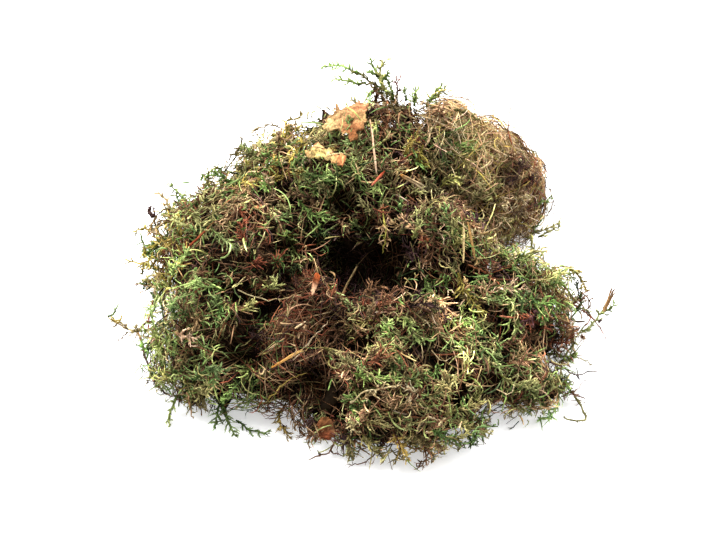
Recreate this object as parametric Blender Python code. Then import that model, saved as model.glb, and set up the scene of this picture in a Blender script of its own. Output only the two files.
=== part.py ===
"""A clump of pulled woodland moss, lying loose on a flat surface.

Metres, +Z up. The origin is on the surface, under the middle of the clump's bounding box.
+X runs the long way across the clump, and -Y is its front.

The clump is a heap of torn mats. Each mat is a closed solid out to the tips of its shoots, with
its own tufts, and it stands on a flat underside. Litter lies on the mats, and stray shoots and
stems leave them. Neighbouring pieces keep a small gap.
"""

import math

import bmesh
import bpy
import numpy as np
from mathutils import Matrix, Vector, noise
from mathutils.bvhtree import BVHTree

# Driving dimensions, in metres
MM = 0.001
MAT_GAP = 1.0 * MM
LITTER_GAP = 0.35 * MM
SHOOT_GAP = 0.40 * MM
FLOOR_GAP = 0.40 * MM

# Relief of the mats: broad lumps, and single tufts that stand out of them and lean
LUMP_HEIGHT = 3.2 * MM
LUMP_LENGTH = 12.0 * MM
TUFT_HEIGHT = 5.0 * MM
TUFT_LOWEST = 0.4
TUFT_DIP = 1.6 * MM
TUFT_SHARE = 0.36
TUFT_LEAN = 1.1 * MM
LEAN_ROOM = 4.4 * MM

# Rays that a mat's surface is measured along. Where it is hidden, one ray in so many is kept.
RAY_STEP = 0.5 * MM
RAY_REACH = 80.0 * MM
HIDDEN_RAYS_KEPT = 3
WALL_SLOPE = 3.0

# Drawing faces in, a share of their length at a time, until they clear the other mats
CLEARING_ROUNDS = 40
CLEARING_SHARE = 0.98
CLEARING_GAP = 0.5 * MM

# Stray pieces: rings along them, points round them, and how flat and how tapered they are
FROND_RINGS = 5
FROND_SIDES = 6
FROND_FLATNESS = 0.42
STEM_RINGS = 6
STEM_SIDES = 5
STEM_FLATNESS = 1.0
STRAW_RINGS = 4
STRAW_FLATNESS = 0.8
PATH_SAMPLES = 80
ROOT_TAPER = 2.6
TIP_TAPER = 2.0
TIP_WIDTH = 0.25
GAP_FILLED = 0.7
THINNEST = 0.16 * MM

# The sloping view from in front and above, across which the litter is laid out
SIGHT_MIDDLE = Vector((0.0, 0.0, 20.0)) * MM
SIGHT_SLOPE = math.radians(50.0)
SIGHT_LENGTH = 660.0 * MM

# Litter: how far it leans, how flakes thin towards the edge, and how deep it is pressed in
DEPTH_SHARE = 0.45
FLAKE_FACING = 0.35
FLAKE_RING = 0.5
FLAKE_EDGE = 0.6
PRESS_RADIUS = 3.2 * MM
PRESS_DEPTH = 1.3 * MM
PRESS_REACH = 12.0 * MM
PRESS_PLACES = 12
PRESS_SHARES = (0.5, 0.9)
SETTLE_STEP = 0.2 * MM
SETTLE_STEPS = 80

# Finishes
SHOOT_ROUGHNESS = 0.7
FLAKE_ROUGHNESS = 0.7
STRAW_ROUGHNESS = 0.6
SHARP_ANGLE = math.radians(38.0)

# Direction and step of the test for whether a place is inside a solid
PROBE = Vector((0.11, 0.07, 1.0)).normalized()
PROBE_STEP = 0.001 * MM

# Mats, in millimetres. Each lump is an ellipsoid: its middle, then its half sizes.
# name, colour, roughness, rays, middle of the rays, lumps
MATS = (
    (
        "moss_mat_left", (0.075, 0.120, 0.026), 0.80, 620, (-48, 6, 13),
        (((-48, 6, 14), (34, 34, 35)), ((-65, 0, 12), (16, 22, 20))),
    ),
    (
        "moss_mat_front_left", (0.070, 0.125, 0.022), 0.80, 360, (-58, -35, 10),
        (((-58, -32, 11), (22, 25, 27)), ((-52, -43, 6), (17, 13, 14))),
    ),
    (
        "dead_stem_ridge", (0.085, 0.045, 0.020), 0.85, 380, (-26, -42, 12),
        (
            ((-16, -28, 18), (13, 14, 27)),
            ((-25, -42, 13), (14, 14, 24)),
            ((-35, -47, 8), (14, 12, 15)),
        ),
    ),
    (
        "moss_mat_top", (0.072, 0.092, 0.025), 0.80, 560, (2, 38, 22),
        (((-2, 36, 22), (29, 36, 39)), ((12, 46, 24), (24, 26, 37))),
    ),
    (
        "root_fibre_mat", (0.190, 0.140, 0.072), 0.90, 480, (48, 47, 18),
        (((51, 46, 17), (24, 25, 34)), ((36, 51, 20), (20, 20, 40))),
    ),
    (
        "moss_mat_centre_right", (0.080, 0.095, 0.028), 0.80, 460, (32, 2, 16),
        (((32, 2, 15), (23, 23, 34)),),
    ),
    (
        "moss_mat_front", (0.075, 0.105, 0.025), 0.80, 600, (17, -50, 10),
        (
            ((17, -54, 8), (31, 24, 25)),
            ((17, -35, 14), (24, 18, 25)),
            ((-8, -58, 5), (18, 15, 14)),
            ((36, -48, 8), (20, 22, 24)),
        ),
    ),
    (
        "moss_mat_right", (0.065, 0.125, 0.022), 0.80, 440, (62, -18, 9),
        (((62, -18, 9), (24, 26, 25)),),
    ),
    (
        "moss_mat_front_right", (0.072, 0.120, 0.022), 0.80, 340, (58, -44, 5),
        (((58, -43, 5), (23, 19, 19)),),
    ),
    (
        "moss_mat_back_left", (0.066, 0.105, 0.024), 0.80, 420, (-30, 40, 14),
        (((-28, 40, 14), (25, 28, 35)), ((-51, 34, 10), (16, 18, 23))),
    ),
    (
        "moss_mat_back", (0.066, 0.092, 0.024), 0.80, 260, (16, 65, 8),
        (((16, 62, 8), (34, 16, 25)),),
    ),
    (
        "dead_stem_bed", (0.040, 0.024, 0.014), 0.90, 260, (4, -12, 5),
        (((2, -10, 4), (52, 44, 13)),),
    ),
)

# Flat litter: name, colour, thickness in millimetres, cupping, and the outline in millimetres
# across and up the sloping view
FLAKES = (
    (
        "bark_flake_large", (0.56, 0.30, 0.13), 1.5, 0.10,
        (
            (-13.7, 56.3), (-9.4, 62.6), (-8.2, 65.3), (-5.9, 63.6), (-2.0, 64.8), (0.8, 66.2),
            (4.0, 64.4), (4.0, 60.6), (2.4, 57.4), (0.3, 54.6), (-0.2, 51.6), (-2.5, 50.4),
            (-4.0, 53.6), (-6.6, 55.3), (-10.6, 55.0),
        ),
    ),
    (
        "bark_flake_small", (0.55, 0.33, 0.15), 1.3, 0.08,
        (
            (-16.4, 51.0), (-13.2, 48.9), (-10.2, 47.4), (-7.6, 45.8), (-4.8, 45.8), (-4.6, 42.4),
            (-6.6, 41.4), (-9.4, 42.6), (-12.4, 43.8), (-15.4, 44.2), (-19.6, 45.0), (-20.5, 47.0),
            (-18.6, 49.6),
        ),
    ),
    (
        "dead_leaf", (0.20, 0.085, 0.035), 0.7, 0.12,
        (
            (-16.4, -61.0), (-15.2, -58.4), (-13.2, -57.7), (-11.0, -58.9), (-9.6, -60.8),
            (-8.7, -63.0), (-8.8, -66.3), (-11.1, -68.0), (-14.2, -67.9), (-16.1, -65.6),
        ),
    ),
    (
        "bud_scale", (0.26, 0.085, 0.030), 0.9, 0.25,
        (
            (-16.4, -0.7), (-15.0, -2.0), (-15.2, -4.2), (-16.8, -7.6), (-18.4, -10.4),
            (-19.0, -9.8), (-18.7, -6.4), (-18.3, -3.4), (-17.5, -1.6),
        ),
    ),
    (
        "red_bark_chip", (0.27, 0.075, 0.040), 0.9, 0.05,
        ((25.2, 13.0), (27.0, 13.4), (28.6, 12.6), (28.0, 11.2), (26.2, 10.8), (24.8, 11.6)),
    ),
)

# Straws and twigs: name, colour, width in millimetres, and places across and up the sloping view
STRAWS = (
    ("split_straw", (0.52, 0.30, 0.11), 1.5, ((15.6, 38.2), (21.0, 36.0), (27.6, 31.8))),
    ("long_straw_left", (0.50, 0.33, 0.14), 1.1, ((41.9, 19.2), (42.2, 11.0), (42.0, 3.0))),
    ("long_straw_right", (0.46, 0.28, 0.12), 1.0, ((43.8, 19.2), (45.4, 11.0), (47.0, 3.0))),
    ("centre_straw", (0.42, 0.25, 0.11), 1.3, ((-7.3, -11.6), (-4.2, -5.4), (0.1, 2.1))),
    ("red_needle", (0.30, 0.090, 0.045), 1.1, ((-68.4, 8.8), (-62.4, 14.2), (-56.4, 20.4))),
    ("brown_twig", (0.17, 0.105, 0.065), 1.6, ((4.8, 60.2), (6.2, 50.0), (7.6, 36.4))),
    ("red_splinter", (0.40, 0.130, 0.070), 1.2, ((5.4, 33.6), (8.0, 36.4), (10.8, 39.6))),
    ("orange_splinter", (0.50, 0.26, 0.08), 1.4, ((-34.4, -38.8), (-28.0, -35.0), (-21.6, -31.6))),
    ("pale_straw", (0.55, 0.42, 0.22), 1.0, ((-25.0, -23.2), (-23.0, -21.6), (-20.8, -20.0))),
    ("pink_stem", (0.38, 0.17, 0.11), 1.0, ((56.4, -18.0), (60.0, -18.6), (63.6, -18.4))),
)

GREEN = (0.075, 0.135, 0.025)
YELLOW = (0.260, 0.230, 0.060)
BROWN = (0.060, 0.032, 0.022)
STRAW = (0.380, 0.270, 0.130)

# Leafy stray shoots, flat across: name, colour, width, and places from root to tip, in
# millimetres
FRONDS = (
    (
        "top_shoot_long", GREEN, 5.0,
        ((14, 55, 56), (6, 62, 60), (-3, 66, 62), (-14, 73, 60)),
    ),
    (
        "top_shoot_short", YELLOW, 3.4,
        ((8, 58, 58), (0, 64, 60), (-7, 66, 60), (-12, 71, 58)),
    ),
    (
        "top_rosette_left", GREEN, 5.0,
        ((10, 60, 58), (7, 65, 65), (4, 70, 69)),
    ),
    (
        "top_rosette_right", GREEN, 4.4,
        ((14, 54, 54), (11, 62, 65), (11, 68, 71)),
    ),
    (
        "top_shoot_red_tip", YELLOW, 3.6,
        ((16, 57, 55), (16, 60, 63), (16, 65, 68)),
    ),
    (
        "top_shoot_right", GREEN, 5.0,
        ((28, 56, 52), (31, 59, 58), (34, 64, 61)),
    ),
    (
        "right_shoot_upper", GREEN, 4.4,
        ((62, 33, 16), (69, 28, 18), (76, 30, 22), (83, 33, 24)),
    ),
    (
        "right_feather_shoot", GREEN, 6.0,
        ((66, 3, 8), (71, 14, 9), (78, 21, 13), (85, 26, 17)),
    ),
    (
        "right_arched_shoot", YELLOW, 4.0,
        ((72, -4, 13), (80, 4, 14), (88, 9, 11), (94, 6, 7), (94, -1, 3)),
    ),
    (
        "right_sprig", GREEN, 4.0,
        ((80, -31, 6), (88, -26, 3), (94, -19, 2), (98, -9.6, 2)),
    ),
    (
        "front_shoot_left", YELLOW, 3.6,
        ((-50, -55, 9), (-50, -60, 4), (-47, -67, 1)),
    ),
    (
        "front_shoot_hooked", GREEN, 3.8,
        ((-44, -55, 7), (-41, -63, 2), (-35, -68, 1), (-29, -66, 2)),
    ),
    (
        "front_shoot_corner", YELLOW, 3.4,
        ((-68, -53, 8), (-71, -57, 3), (-74, -62, 1)),
    ),
    (
        "left_sprig", GREEN, 4.2,
        ((-79, -26, 7), (-86, -21, 3), (-92, -17, 2), (-97, -14, 2), (-103, -8, 3)),
    ),
    (
        "left_shoot_low", YELLOW, 4.0,
        ((-78, -6, 14), (-84, -1, 11), (-91, 3, 8)),
    ),
    (
        "left_shoot_thin", STRAW, 2.2,
        ((-76, 3, 17), (-82, 6, 15), (-90, 11, 13), (-97, 15, 10)),
    ),
    (
        "left_shoot_yellow", YELLOW, 4.4,
        ((-76, 11, 22), (-84, 17, 22), (-93, 20, 18)),
    ),
    (
        "left_shoot_upper", YELLOW, 4.0,
        ((-72, 16, 26), (-77, 23, 32), (-82, 29, 36)),
    ),
    (
        "back_left_shoot", GREEN, 4.4,
        ((-51, 28, 38), (-55, 31, 43), (-63, 31, 42)),
    ),
    (
        "back_left_shoot_upper", GREEN, 4.0,
        ((-38, 40, 44), (-42, 42, 48), (-47, 45, 48)),
    ),
)

# Bare stray stems, roots and husks: name, colour, width, and places from root to tip, in
# millimetres
STEMS = (
    (
        "top_dark_fibre", BROWN, 1.0,
        ((58, 52, 44), (61, 57, 47), (60, 62, 50)),
    ),
    (
        "top_fibre_loop", STRAW, 1.0,
        ((64, 60, 38), (72, 57, 36), (79, 50, 29), (82, 43, 20)),
    ),
    (
        "right_dark_twig", BROWN, 1.8,
        ((78, -30, 10), (84, -22, 8), (90, -13, 6), (94, -5, 5)),
    ),
    (
        "right_thin_stem", BROWN, 1.0,
        ((82, -12, 9), (90, -14, 4), (97, -23, 2), (101, -30, 1)),
    ),
    (
        "seed_husk", STRAW, 2.8,
        ((98.1, -8.8, 2.1), (100, -3, 3), (101.6, 2, 4), (103, 6, 5)),
    ),
    (
        "right_dark_root", BROWN, 1.0,
        ((75, -40, 6), (86, -41, 3), (95, -38, 1), (101, -36, 1)),
    ),
    (
        "right_root_loop", BROWN, 1.0,
        ((70, -52, 6), (78, -62, 2), (85, -62, 1), (89, -55, 2), (88, -50, 4)),
    ),
    (
        "right_brown_tuft", BROWN, 3.0,
        ((80, -48, 7), (84, -47, 5), (89, -44, 4)),
    ),
    (
        "front_dark_root", BROWN, 1.2,
        ((-4, -72, 5), (-10, -75, 2), (-16, -78, 1), (-22, -80, 1)),
    ),
    (
        "front_thin_root", BROWN, 0.9,
        ((8, -77, 3), (3, -80, 1), (-5, -80, 1)),
    ),
    (
        "left_dark_root", BROWN, 1.0,
        ((-73, -50, 4), (-80, -44, 1), (-84, -36, 1), (-88, -26, 1), (-91, -22, 1)),
    ),
    (
        "left_crumb_stem", BROWN, 1.0,
        ((-76, 13, 27), (-80, 18, 30), (-83, 22, 32)),
    ),
)


def material(name, colour, roughness):
    """A Principled material of one colour."""
    made = bpy.data.materials.new(name)
    made.use_nodes = True
    shader = made.node_tree.nodes["Principled BSDF"]
    shader.inputs["Base Color"].default_value = (*colour, 1.0)
    shader.inputs["Roughness"].default_value = roughness
    shader.inputs["Metallic"].default_value = 0.0
    return made


def add_object(name, mesh, colour, roughness):
    """An object in the scene from a finished mesh, shaded smooth, with its own material."""
    mesh.materials.append(material(name + "_finish", colour, roughness))
    mesh.shade_smooth()
    mesh.set_sharp_from_angle(angle=SHARP_ANGLE)
    made = bpy.data.objects.new(name, mesh)
    bpy.context.scene.collection.objects.link(made)
    return made


def clear_scene():
    """Remove whatever the scene holds."""
    for old in list(bpy.data.objects):
        bpy.data.objects.remove(old, do_unlink=True)


def ray_directions(count):
    """Directions spread evenly over a sphere along one spiral."""
    index = np.arange(count)
    height = 1.0 - 2.0 * (index + 0.5) / count
    turn = index * math.pi * (3.0 - math.sqrt(5.0))
    level = np.sqrt(1.0 - height * height)
    return np.stack([level * np.cos(turn), level * np.sin(turn), height], axis=1)


def ellipsoid_distance(points, centre, half):
    """How far each point is outside an ellipsoid, close to exact near its surface."""
    offset = points - centre
    first = np.linalg.norm(offset / half, axis=-1)
    second = np.linalg.norm(offset / (half * half), axis=-1)
    away = first > 1e-6
    return np.where(away, first * (first - 1.0) / np.where(away, second, 1.0), -half.min())


def mat_distance(points, lumps):
    """How far each point is outside a mat, over all of its lumps."""
    found = None
    for centre, half in lumps:
        each = ellipsoid_distance(points, np.array(centre) * MM, np.array(half) * MM)
        found = each if found is None else np.minimum(found, each)
    return found


def first_crossing(values, lengths):
    """Length along each ray where the value first rises above zero, or the whole reach."""
    outside = values > 0.0
    crossed = outside.any(axis=1)
    after = np.where(crossed, outside.argmax(axis=1), values.shape[1] - 1)
    before = np.maximum(after - 1, 0)
    rows = np.arange(len(values))
    low = values[rows, before]
    high = values[rows, after]
    span = np.where(high - low > 1e-12, high - low, 1.0)
    share = np.clip(-low / span, 0.0, 1.0)
    found = lengths[before] + share * (lengths[after] - lengths[before])
    return np.where(crossed, found, lengths[-1])


def eased(wall, directions):
    """Shorten rays beside much shorter ones, so that no face cuts a neighbour's corner."""
    angles = np.arccos(np.clip(directions @ directions.T, -1.0, 1.0))
    return (wall[None, :] * (1.0 + WALL_SLOPE * angles)).min(axis=1)


def lump_relief(points):
    """Broad lumps, the same for every mat, so that two mats still meet in one surface."""
    flat = points.reshape(-1, 3) / LUMP_LENGTH
    found = np.array([noise.noise(Vector(place)) for place in flat])
    return LUMP_HEIGHT * found.reshape(points.shape[:-1])


def tuft_relief(count, draw):
    """Height of the tuft at each ray: most dip a little, and a share of them stand out."""
    pick = draw.random(count)
    tall = TUFT_HEIGHT * draw.uniform(TUFT_LOWEST, 1.0, count)
    low = -TUFT_DIP * draw.random(count)
    return np.where(pick < TUFT_SHARE, tall, low)


def hull_faces(directions):
    """The faces of the hull of directions from one place, as rows of three indices."""
    shape = bmesh.new()
    for direction in directions:
        shape.verts.new(direction)
    bmesh.ops.convex_hull(shape, input=shape.verts)
    shape.verts.index_update()
    bmesh.ops.recalc_face_normals(shape, faces=shape.faces)
    faces = [[corner.index for corner in face.verts] for face in shape.faces]
    shape.free()
    return np.array(faces)


def probe_places(corners, faces):
    """Places all over each face: its middle and the middles of its edges."""
    first, second, third = (corners[faces[:, side]] for side in range(3))
    middles = (first + second + third) / 3.0
    edges = ((first + second) / 2.0, (second + third) / 2.0, (third + first) / 2.0)
    return np.stack([middles, *edges], axis=1)


def mat_mesh(name, rays, middle, lumps, others, seed):
    """A mat's closed mesh: rays from its middle, out to its tufts, a neighbour or the floor."""

    def past_wall(places):
        nearest = np.min([mat_distance(places, other) for other in others], axis=0)
        return mat_distance(places, lumps) - nearest

    draw = np.random.default_rng(seed)
    heart = np.array(middle) * MM
    directions = ray_directions(rays)
    lengths = np.arange(0.0, RAY_REACH, RAY_STEP)
    points = heart + directions[:, None, :] * lengths[None, :, None]
    free = first_crossing(mat_distance(points, lumps) - lump_relief(points), lengths)
    wall = eased(first_crossing(past_wall(points) + MAT_GAP, lengths), directions)
    floor = first_crossing(-points[:, :, 2], lengths)
    tuft = tuft_relief(rays, draw)
    reach = np.minimum(free + tuft, wall)
    on_floor = floor <= reach
    reach = np.where(on_floor, floor, reach)
    leaning = (tuft > 0.0) & ~on_floor & (wall > reach + LEAN_ROOM)
    lean = np.where(leaning[:, None], draw.normal(size=(rays, 3)) * TUFT_LEAN, 0.0)

    hidden = on_floor | (wall < free)
    kept = ~hidden | (np.arange(rays) % HIDDEN_RAYS_KEPT == 0)
    directions, reach, lean, on_floor = directions[kept], reach[kept], lean[kept], on_floor[kept]
    faces = hull_faces(directions)
    for _ in range(CLEARING_ROUNDS):
        corners = heart + directions * reach[:, None] + lean
        corners[:, 2] = np.where(on_floor, 0.0, np.maximum(corners[:, 2], FLOOR_GAP))
        crossing = (past_wall(probe_places(corners, faces)) > -CLEARING_GAP).any(axis=1)
        if not crossing.any():
            break
        drawn_in = np.setdiff1d(faces[crossing], np.flatnonzero(on_floor))
        reach[drawn_in] *= CLEARING_SHARE
    mesh = bpy.data.meshes.new(name)
    mesh.from_pydata(corners.tolist(), [], faces.tolist())
    return mesh


def add_mats():
    """All the mats, each kept clear of the others."""
    made = []
    for order, (name, colour, roughness, rays, middle, lumps) in enumerate(MATS):
        others = [mat[5] for mat in MATS if mat[0] != name]
        mesh = mat_mesh(name, rays, middle, lumps, others, order)
        made.append(add_object(name, mesh, colour, roughness))
    return made


def tree_of(objects):
    """One search tree over the meshes of several objects."""
    corners = []
    faces = []
    for each in objects:
        base = len(corners)
        corners += [corner.co.copy() for corner in each.data.vertices]
        faces += [[base + index for index in face.vertices] for face in each.data.polygons]
    return BVHTree.FromPolygons(corners, faces)


def clearance(tree, place):
    """Distance from a place to the nearest surface, negative inside a solid."""
    crossings = 0
    start = place
    while start is not None:
        start = tree.ray_cast(start, PROBE)[0]
        if start is not None:
            crossings += 1
            start = start + PROBE * PROBE_STEP
    distance = tree.find_nearest(place)[3]
    return -distance if crossings % 2 else distance


def sight_axes():
    """Eye, and the directions across, up and away from it in the sloping view."""
    away = Vector((0.0, math.cos(SIGHT_SLOPE), -math.sin(SIGHT_SLOPE)))
    across = Vector((1.0, 0.0, 0.0))
    up = across.cross(away)
    return SIGHT_MIDDLE - away * SIGHT_LENGTH, across, up, away


def sight_ray(spot):
    """The direction from the eye through a spot of the sloping view."""
    eye, across, up, _ = sight_axes()
    through = SIGHT_MIDDLE + across * spot[0] * MM + up * spot[1] * MM
    return (through - eye).normalized()


def seen_depth(tree, spot):
    """How far from the eye the mats lie behind a spot of the sloping view."""
    eye = sight_axes()[0]
    found = tree.ray_cast(eye, sight_ray(spot))[3]
    return SIGHT_LENGTH if found is None else found


def settle(shape, standing, gap):
    """Draw a shape back towards the eye until it is clear of what stands and the floor."""
    tree = tree_of(standing)
    toward = -sight_axes()[3]
    for _ in range(SETTLE_STEPS):
        solid = BVHTree.FromBMesh(shape)
        touching = bool(solid.overlap(tree))
        near = min(clearance(tree, corner.co) for corner in shape.verts)
        low = min(corner.co.z for corner in shape.verts)
        if not touching and near > gap and low > FLOOR_GAP:
            return
        bmesh.ops.translate(shape, verts=shape.verts, vec=toward * SETTLE_STEP)
    raise RuntimeError("a piece of litter found no place to lie")


def finished_mesh(name, shape):
    """A mesh from a finished shape, with its faces pointing out."""
    bmesh.ops.recalc_face_normals(shape, faces=shape.faces)
    mesh = bpy.data.meshes.new(name)
    shape.to_mesh(mesh)
    shape.free()
    return mesh


def press(mats, places, radius):
    """Press the mats' tufts back from the eye where they would stand through a piece."""
    away = sight_axes()[3]
    for mat in mats:
        for corner in mat.data.vertices:
            for place in places:
                offset = corner.co - place
                depth = offset.dot(away)
                beside = (offset - away * depth).length
                if beside < radius and -PRESS_REACH < depth < PRESS_DEPTH:
                    corner.co += away * (PRESS_DEPTH - depth)


def flat_under(spots, tree):
    """Middle and normal of the plane that fits the mats behind spots of the sloping view."""
    eye = sight_axes()[0]
    found = [eye + sight_ray(spot) * seen_depth(tree, spot) for spot in spots]
    middle = sum(found, Vector()) / len(found)
    offsets = np.array([place - middle for place in found])
    normal = Vector(np.linalg.svd(offsets)[2][2])
    toward = -sight_axes()[3]
    normal = normal if normal.dot(toward) > 0.0 else -normal
    return middle, (normal + toward * FLAKE_FACING).normalized()


def flake_mesh(name, thickness, cupping, outline, mats, made, tree):
    """A flat scrap with the outline that it shows, cupped, and laid on the mats."""
    eye = sight_axes()[0]
    heart = sum((Vector(spot) for spot in outline), Vector((0.0, 0.0))) / len(outline)
    spots = [heart + (Vector(spot) - heart) * share for spot in outline for share in PRESS_SHARES]
    centre, normal = flat_under([heart, *spots], tree)

    def on_plane(spot):
        ray = sight_ray(spot)
        return eye + ray * ((centre - eye).dot(normal) / ray.dot(normal))

    press(mats, [on_plane(spot) for spot in spots], PRESS_RADIUS)
    hub = on_plane(heart)
    shape = bmesh.new()
    layers = []
    for side in (0.5, -0.5):
        rings = []
        for share in (FLAKE_RING, 1.0):
            ring = []
            for spot in outline:
                flat = on_plane(heart + (Vector(spot) - heart) * share)
                rise = (flat - hub).length * cupping * share
                edge = FLAKE_EDGE if share == 1.0 else 1.0
                ring.append(shape.verts.new(flat + normal * (rise + side * thickness * edge)))
            rings.append(ring)
        layers.append((shape.verts.new(hub + normal * side * thickness), rings))
    count = len(outline)
    for index in range(count):
        after = (index + 1) % count
        for tip, rings in layers:
            shape.faces.new((tip, rings[0][index], rings[0][after]))
            shape.faces.new((rings[0][index], rings[1][index], rings[1][after]))
            shape.faces.new((rings[0][index], rings[1][after], rings[0][after]))
        upper = layers[0][1][1]
        lower = layers[1][1][1]
        shape.faces.new((upper[index], lower[index], lower[after]))
        shape.faces.new((upper[index], lower[after], upper[after]))
    settle(shape, mats + made, LITTER_GAP)
    return finished_mesh(name, shape)


def smooth_path(places, count):
    """Evenly counted places on a smooth curve through the given ones."""
    ends = [places[0] * 2 - places[1], *places, places[-1] * 2 - places[-2]]
    found = []
    for step in range(count):
        along = step / (count - 1) * (len(places) - 1)
        piece = min(int(along), len(places) - 2)
        part = along - piece
        before, first, second, after = ends[piece : piece + 4]
        bend = 2.0 * before - 5.0 * first + 4.0 * second - after
        twist = 3.0 * first - before - 3.0 * second + after
        slope = second - before
        found.append(first + 0.5 * (slope * part + bend * part**2 + twist * part**3))
    return found


def rod_shape(path, radii, sides, flatness):
    """A closed tapered rod along a path, flattened across, with a point at each end."""
    facing = -sight_axes()[3]
    shape = bmesh.new()
    rings = []
    for index in range(1, len(path) - 1):
        along = (path[index + 1] - path[index - 1]).normalized()
        across = along.cross(facing).normalized()
        over = across.cross(along)
        ring = []
        for side in range(sides):
            turn = 2.0 * math.pi * side / sides
            spoke = across * math.cos(turn) + over * math.sin(turn) * flatness
            ring.append(shape.verts.new(path[index] + spoke * radii[index]))
        rings.append(ring)
    root = shape.verts.new(path[0])
    tip = shape.verts.new(path[-1])
    for side in range(sides):
        after = (side + 1) % sides
        shape.faces.new((root, rings[0][after], rings[0][side]))
        shape.faces.new((tip, rings[-1][side], rings[-1][after]))
        for low, high in zip(rings, rings[1:]):
            shape.faces.new((low[side], low[after], high[after]))
            shape.faces.new((low[side], high[after], high[side]))
    return shape


def straw_mesh(name, width, spots, mats, made, tree):
    """A straw seen between its spots, leaning no more than the mats under it, laid on them."""
    eye = sight_axes()[0]
    depths = [seen_depth(tree, spot) for spot in spots]
    middle = sorted(depths)[len(depths) // 2]
    seen = (Vector(spots[-1]) - Vector(spots[0])).length * MM
    most = 0.5 * DEPTH_SHARE * seen
    places = []
    for order, spot in enumerate(spots):
        lean = (depths[-1] - depths[0]) * (order / (len(spots) - 1) - 0.5)
        places.append(eye + sight_ray(spot) * (middle + max(-most, min(most, lean))))
    path = smooth_path(places, STRAW_RINGS + 2)
    press(mats, smooth_path(places, PRESS_PLACES), PRESS_RADIUS)
    shape = rod_shape(path, [0.5 * width * MM] * len(path), STEM_SIDES, STRAW_FLATNESS)
    settle(shape, mats + made, LITTER_GAP)
    return finished_mesh(name, shape)


def keep_off_floor(shape):
    """Press the underside of a shape flat where it would reach the floor."""
    for corner in shape.verts:
        corner.co.z = max(corner.co.z, FLOOR_GAP)


def shoot_mesh(name, width, places, rings, sides, flatness, tree):
    """A stray shoot from where it leaves what it grows from, out to its tip."""
    samples = smooth_path([Vector(place) * MM for place in places], PATH_SAMPLES)
    half = 0.5 * width * MM
    lowest = FLOOR_GAP + half * flatness
    samples = [Vector((at.x, at.y, max(at.z, lowest))) for at in samples]
    gaps = [clearance(tree, at) for at in samples]
    blocked = [index for index, gap in enumerate(gaps) if gap < SHOOT_GAP]
    first = blocked[-1] + 1 if blocked else 0
    if PATH_SAMPLES - first < 2 * rings:
        raise RuntimeError(name + " lies inside another piece")
    path = []
    radii = []
    for step in range(rings + 2):
        share = step / (rings + 1)
        index = first + round(share * (PATH_SAMPLES - 1 - first))
        taper = min(1.0, ROOT_TAPER * share) * min(1.0, TIP_TAPER * (1.0 - share) + TIP_WIDTH)
        room = GAP_FILLED * (gaps[index] - SHOOT_GAP)
        path.append(samples[index])
        radii.append(max(min(half * taper, room), THINNEST))
    shape = rod_shape(path, radii, sides, flatness)
    keep_off_floor(shape)
    return finished_mesh(name, shape)


def add_litter(mats):
    """Bark, leaf, straws and twigs, each lying clear of the mats and of the pieces before it."""
    made = []
    for name, colour, thickness, cupping, outline in FLAKES:
        tree = tree_of(mats + made)
        mesh = flake_mesh(name, thickness * MM, cupping, outline, mats, made, tree)
        made.append(add_object(name, mesh, colour, FLAKE_ROUGHNESS))
    for name, colour, width, spots in STRAWS:
        tree = tree_of(mats + made)
        mesh = straw_mesh(name, width, spots, mats, made, tree)
        made.append(add_object(name, mesh, colour, STRAW_ROUGHNESS))
    return made


def add_shoots(standing):
    """Stray shoots and stems, each clear of everything made before it."""
    made = []
    kinds = (
        (FRONDS, FROND_RINGS, FROND_SIDES, FROND_FLATNESS),
        (STEMS, STEM_RINGS, STEM_SIDES, STEM_FLATNESS),
    )
    for table, rings, sides, flatness in kinds:
        for name, colour, width, places in table:
            tree = tree_of(standing + made)
            mesh = shoot_mesh(name, width, places, rings, sides, flatness, tree)
            made.append(add_object(name, mesh, colour, SHOOT_ROUGHNESS))
    return made


def centre_on_origin(objects):
    """Move every mesh so that the origin is under the middle of the whole bounding box."""
    corners = [corner.co for each in objects for corner in each.data.vertices]
    middle_x = 0.5 * (min(at.x for at in corners) + max(at.x for at in corners))
    middle_y = 0.5 * (min(at.y for at in corners) + max(at.y for at in corners))
    for each in objects:
        each.data.transform(Matrix.Translation((-middle_x, -middle_y, 0.0)))


clear_scene()
mats = add_mats()
litter = add_litter(mats)
shoots = add_shoots(mats + litter)
centre_on_origin(mats + litter + shoots)
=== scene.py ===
"""The looks of a dried clump of moss: felted mats of shoots and roots, with bark, leaf and straw litter."""

import math
from dataclasses import dataclass

import bpy
import numpy as np
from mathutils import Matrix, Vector, noise
from mathutils.bvhtree import BVHTree
from mathutils.kdtree import KDTree


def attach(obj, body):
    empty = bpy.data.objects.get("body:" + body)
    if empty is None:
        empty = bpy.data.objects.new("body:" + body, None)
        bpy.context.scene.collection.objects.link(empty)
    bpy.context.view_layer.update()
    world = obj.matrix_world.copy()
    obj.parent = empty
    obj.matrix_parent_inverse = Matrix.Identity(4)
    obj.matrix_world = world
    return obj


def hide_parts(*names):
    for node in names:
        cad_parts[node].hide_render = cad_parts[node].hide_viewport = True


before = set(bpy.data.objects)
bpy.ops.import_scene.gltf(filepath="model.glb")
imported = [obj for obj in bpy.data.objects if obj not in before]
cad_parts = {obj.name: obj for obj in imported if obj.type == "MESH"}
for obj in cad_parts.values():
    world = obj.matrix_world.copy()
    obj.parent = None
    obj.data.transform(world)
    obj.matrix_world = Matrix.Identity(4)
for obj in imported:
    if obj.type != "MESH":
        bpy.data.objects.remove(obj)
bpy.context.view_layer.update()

MM = 0.001
SEED = 41
TURN = 2 * math.pi

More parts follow.
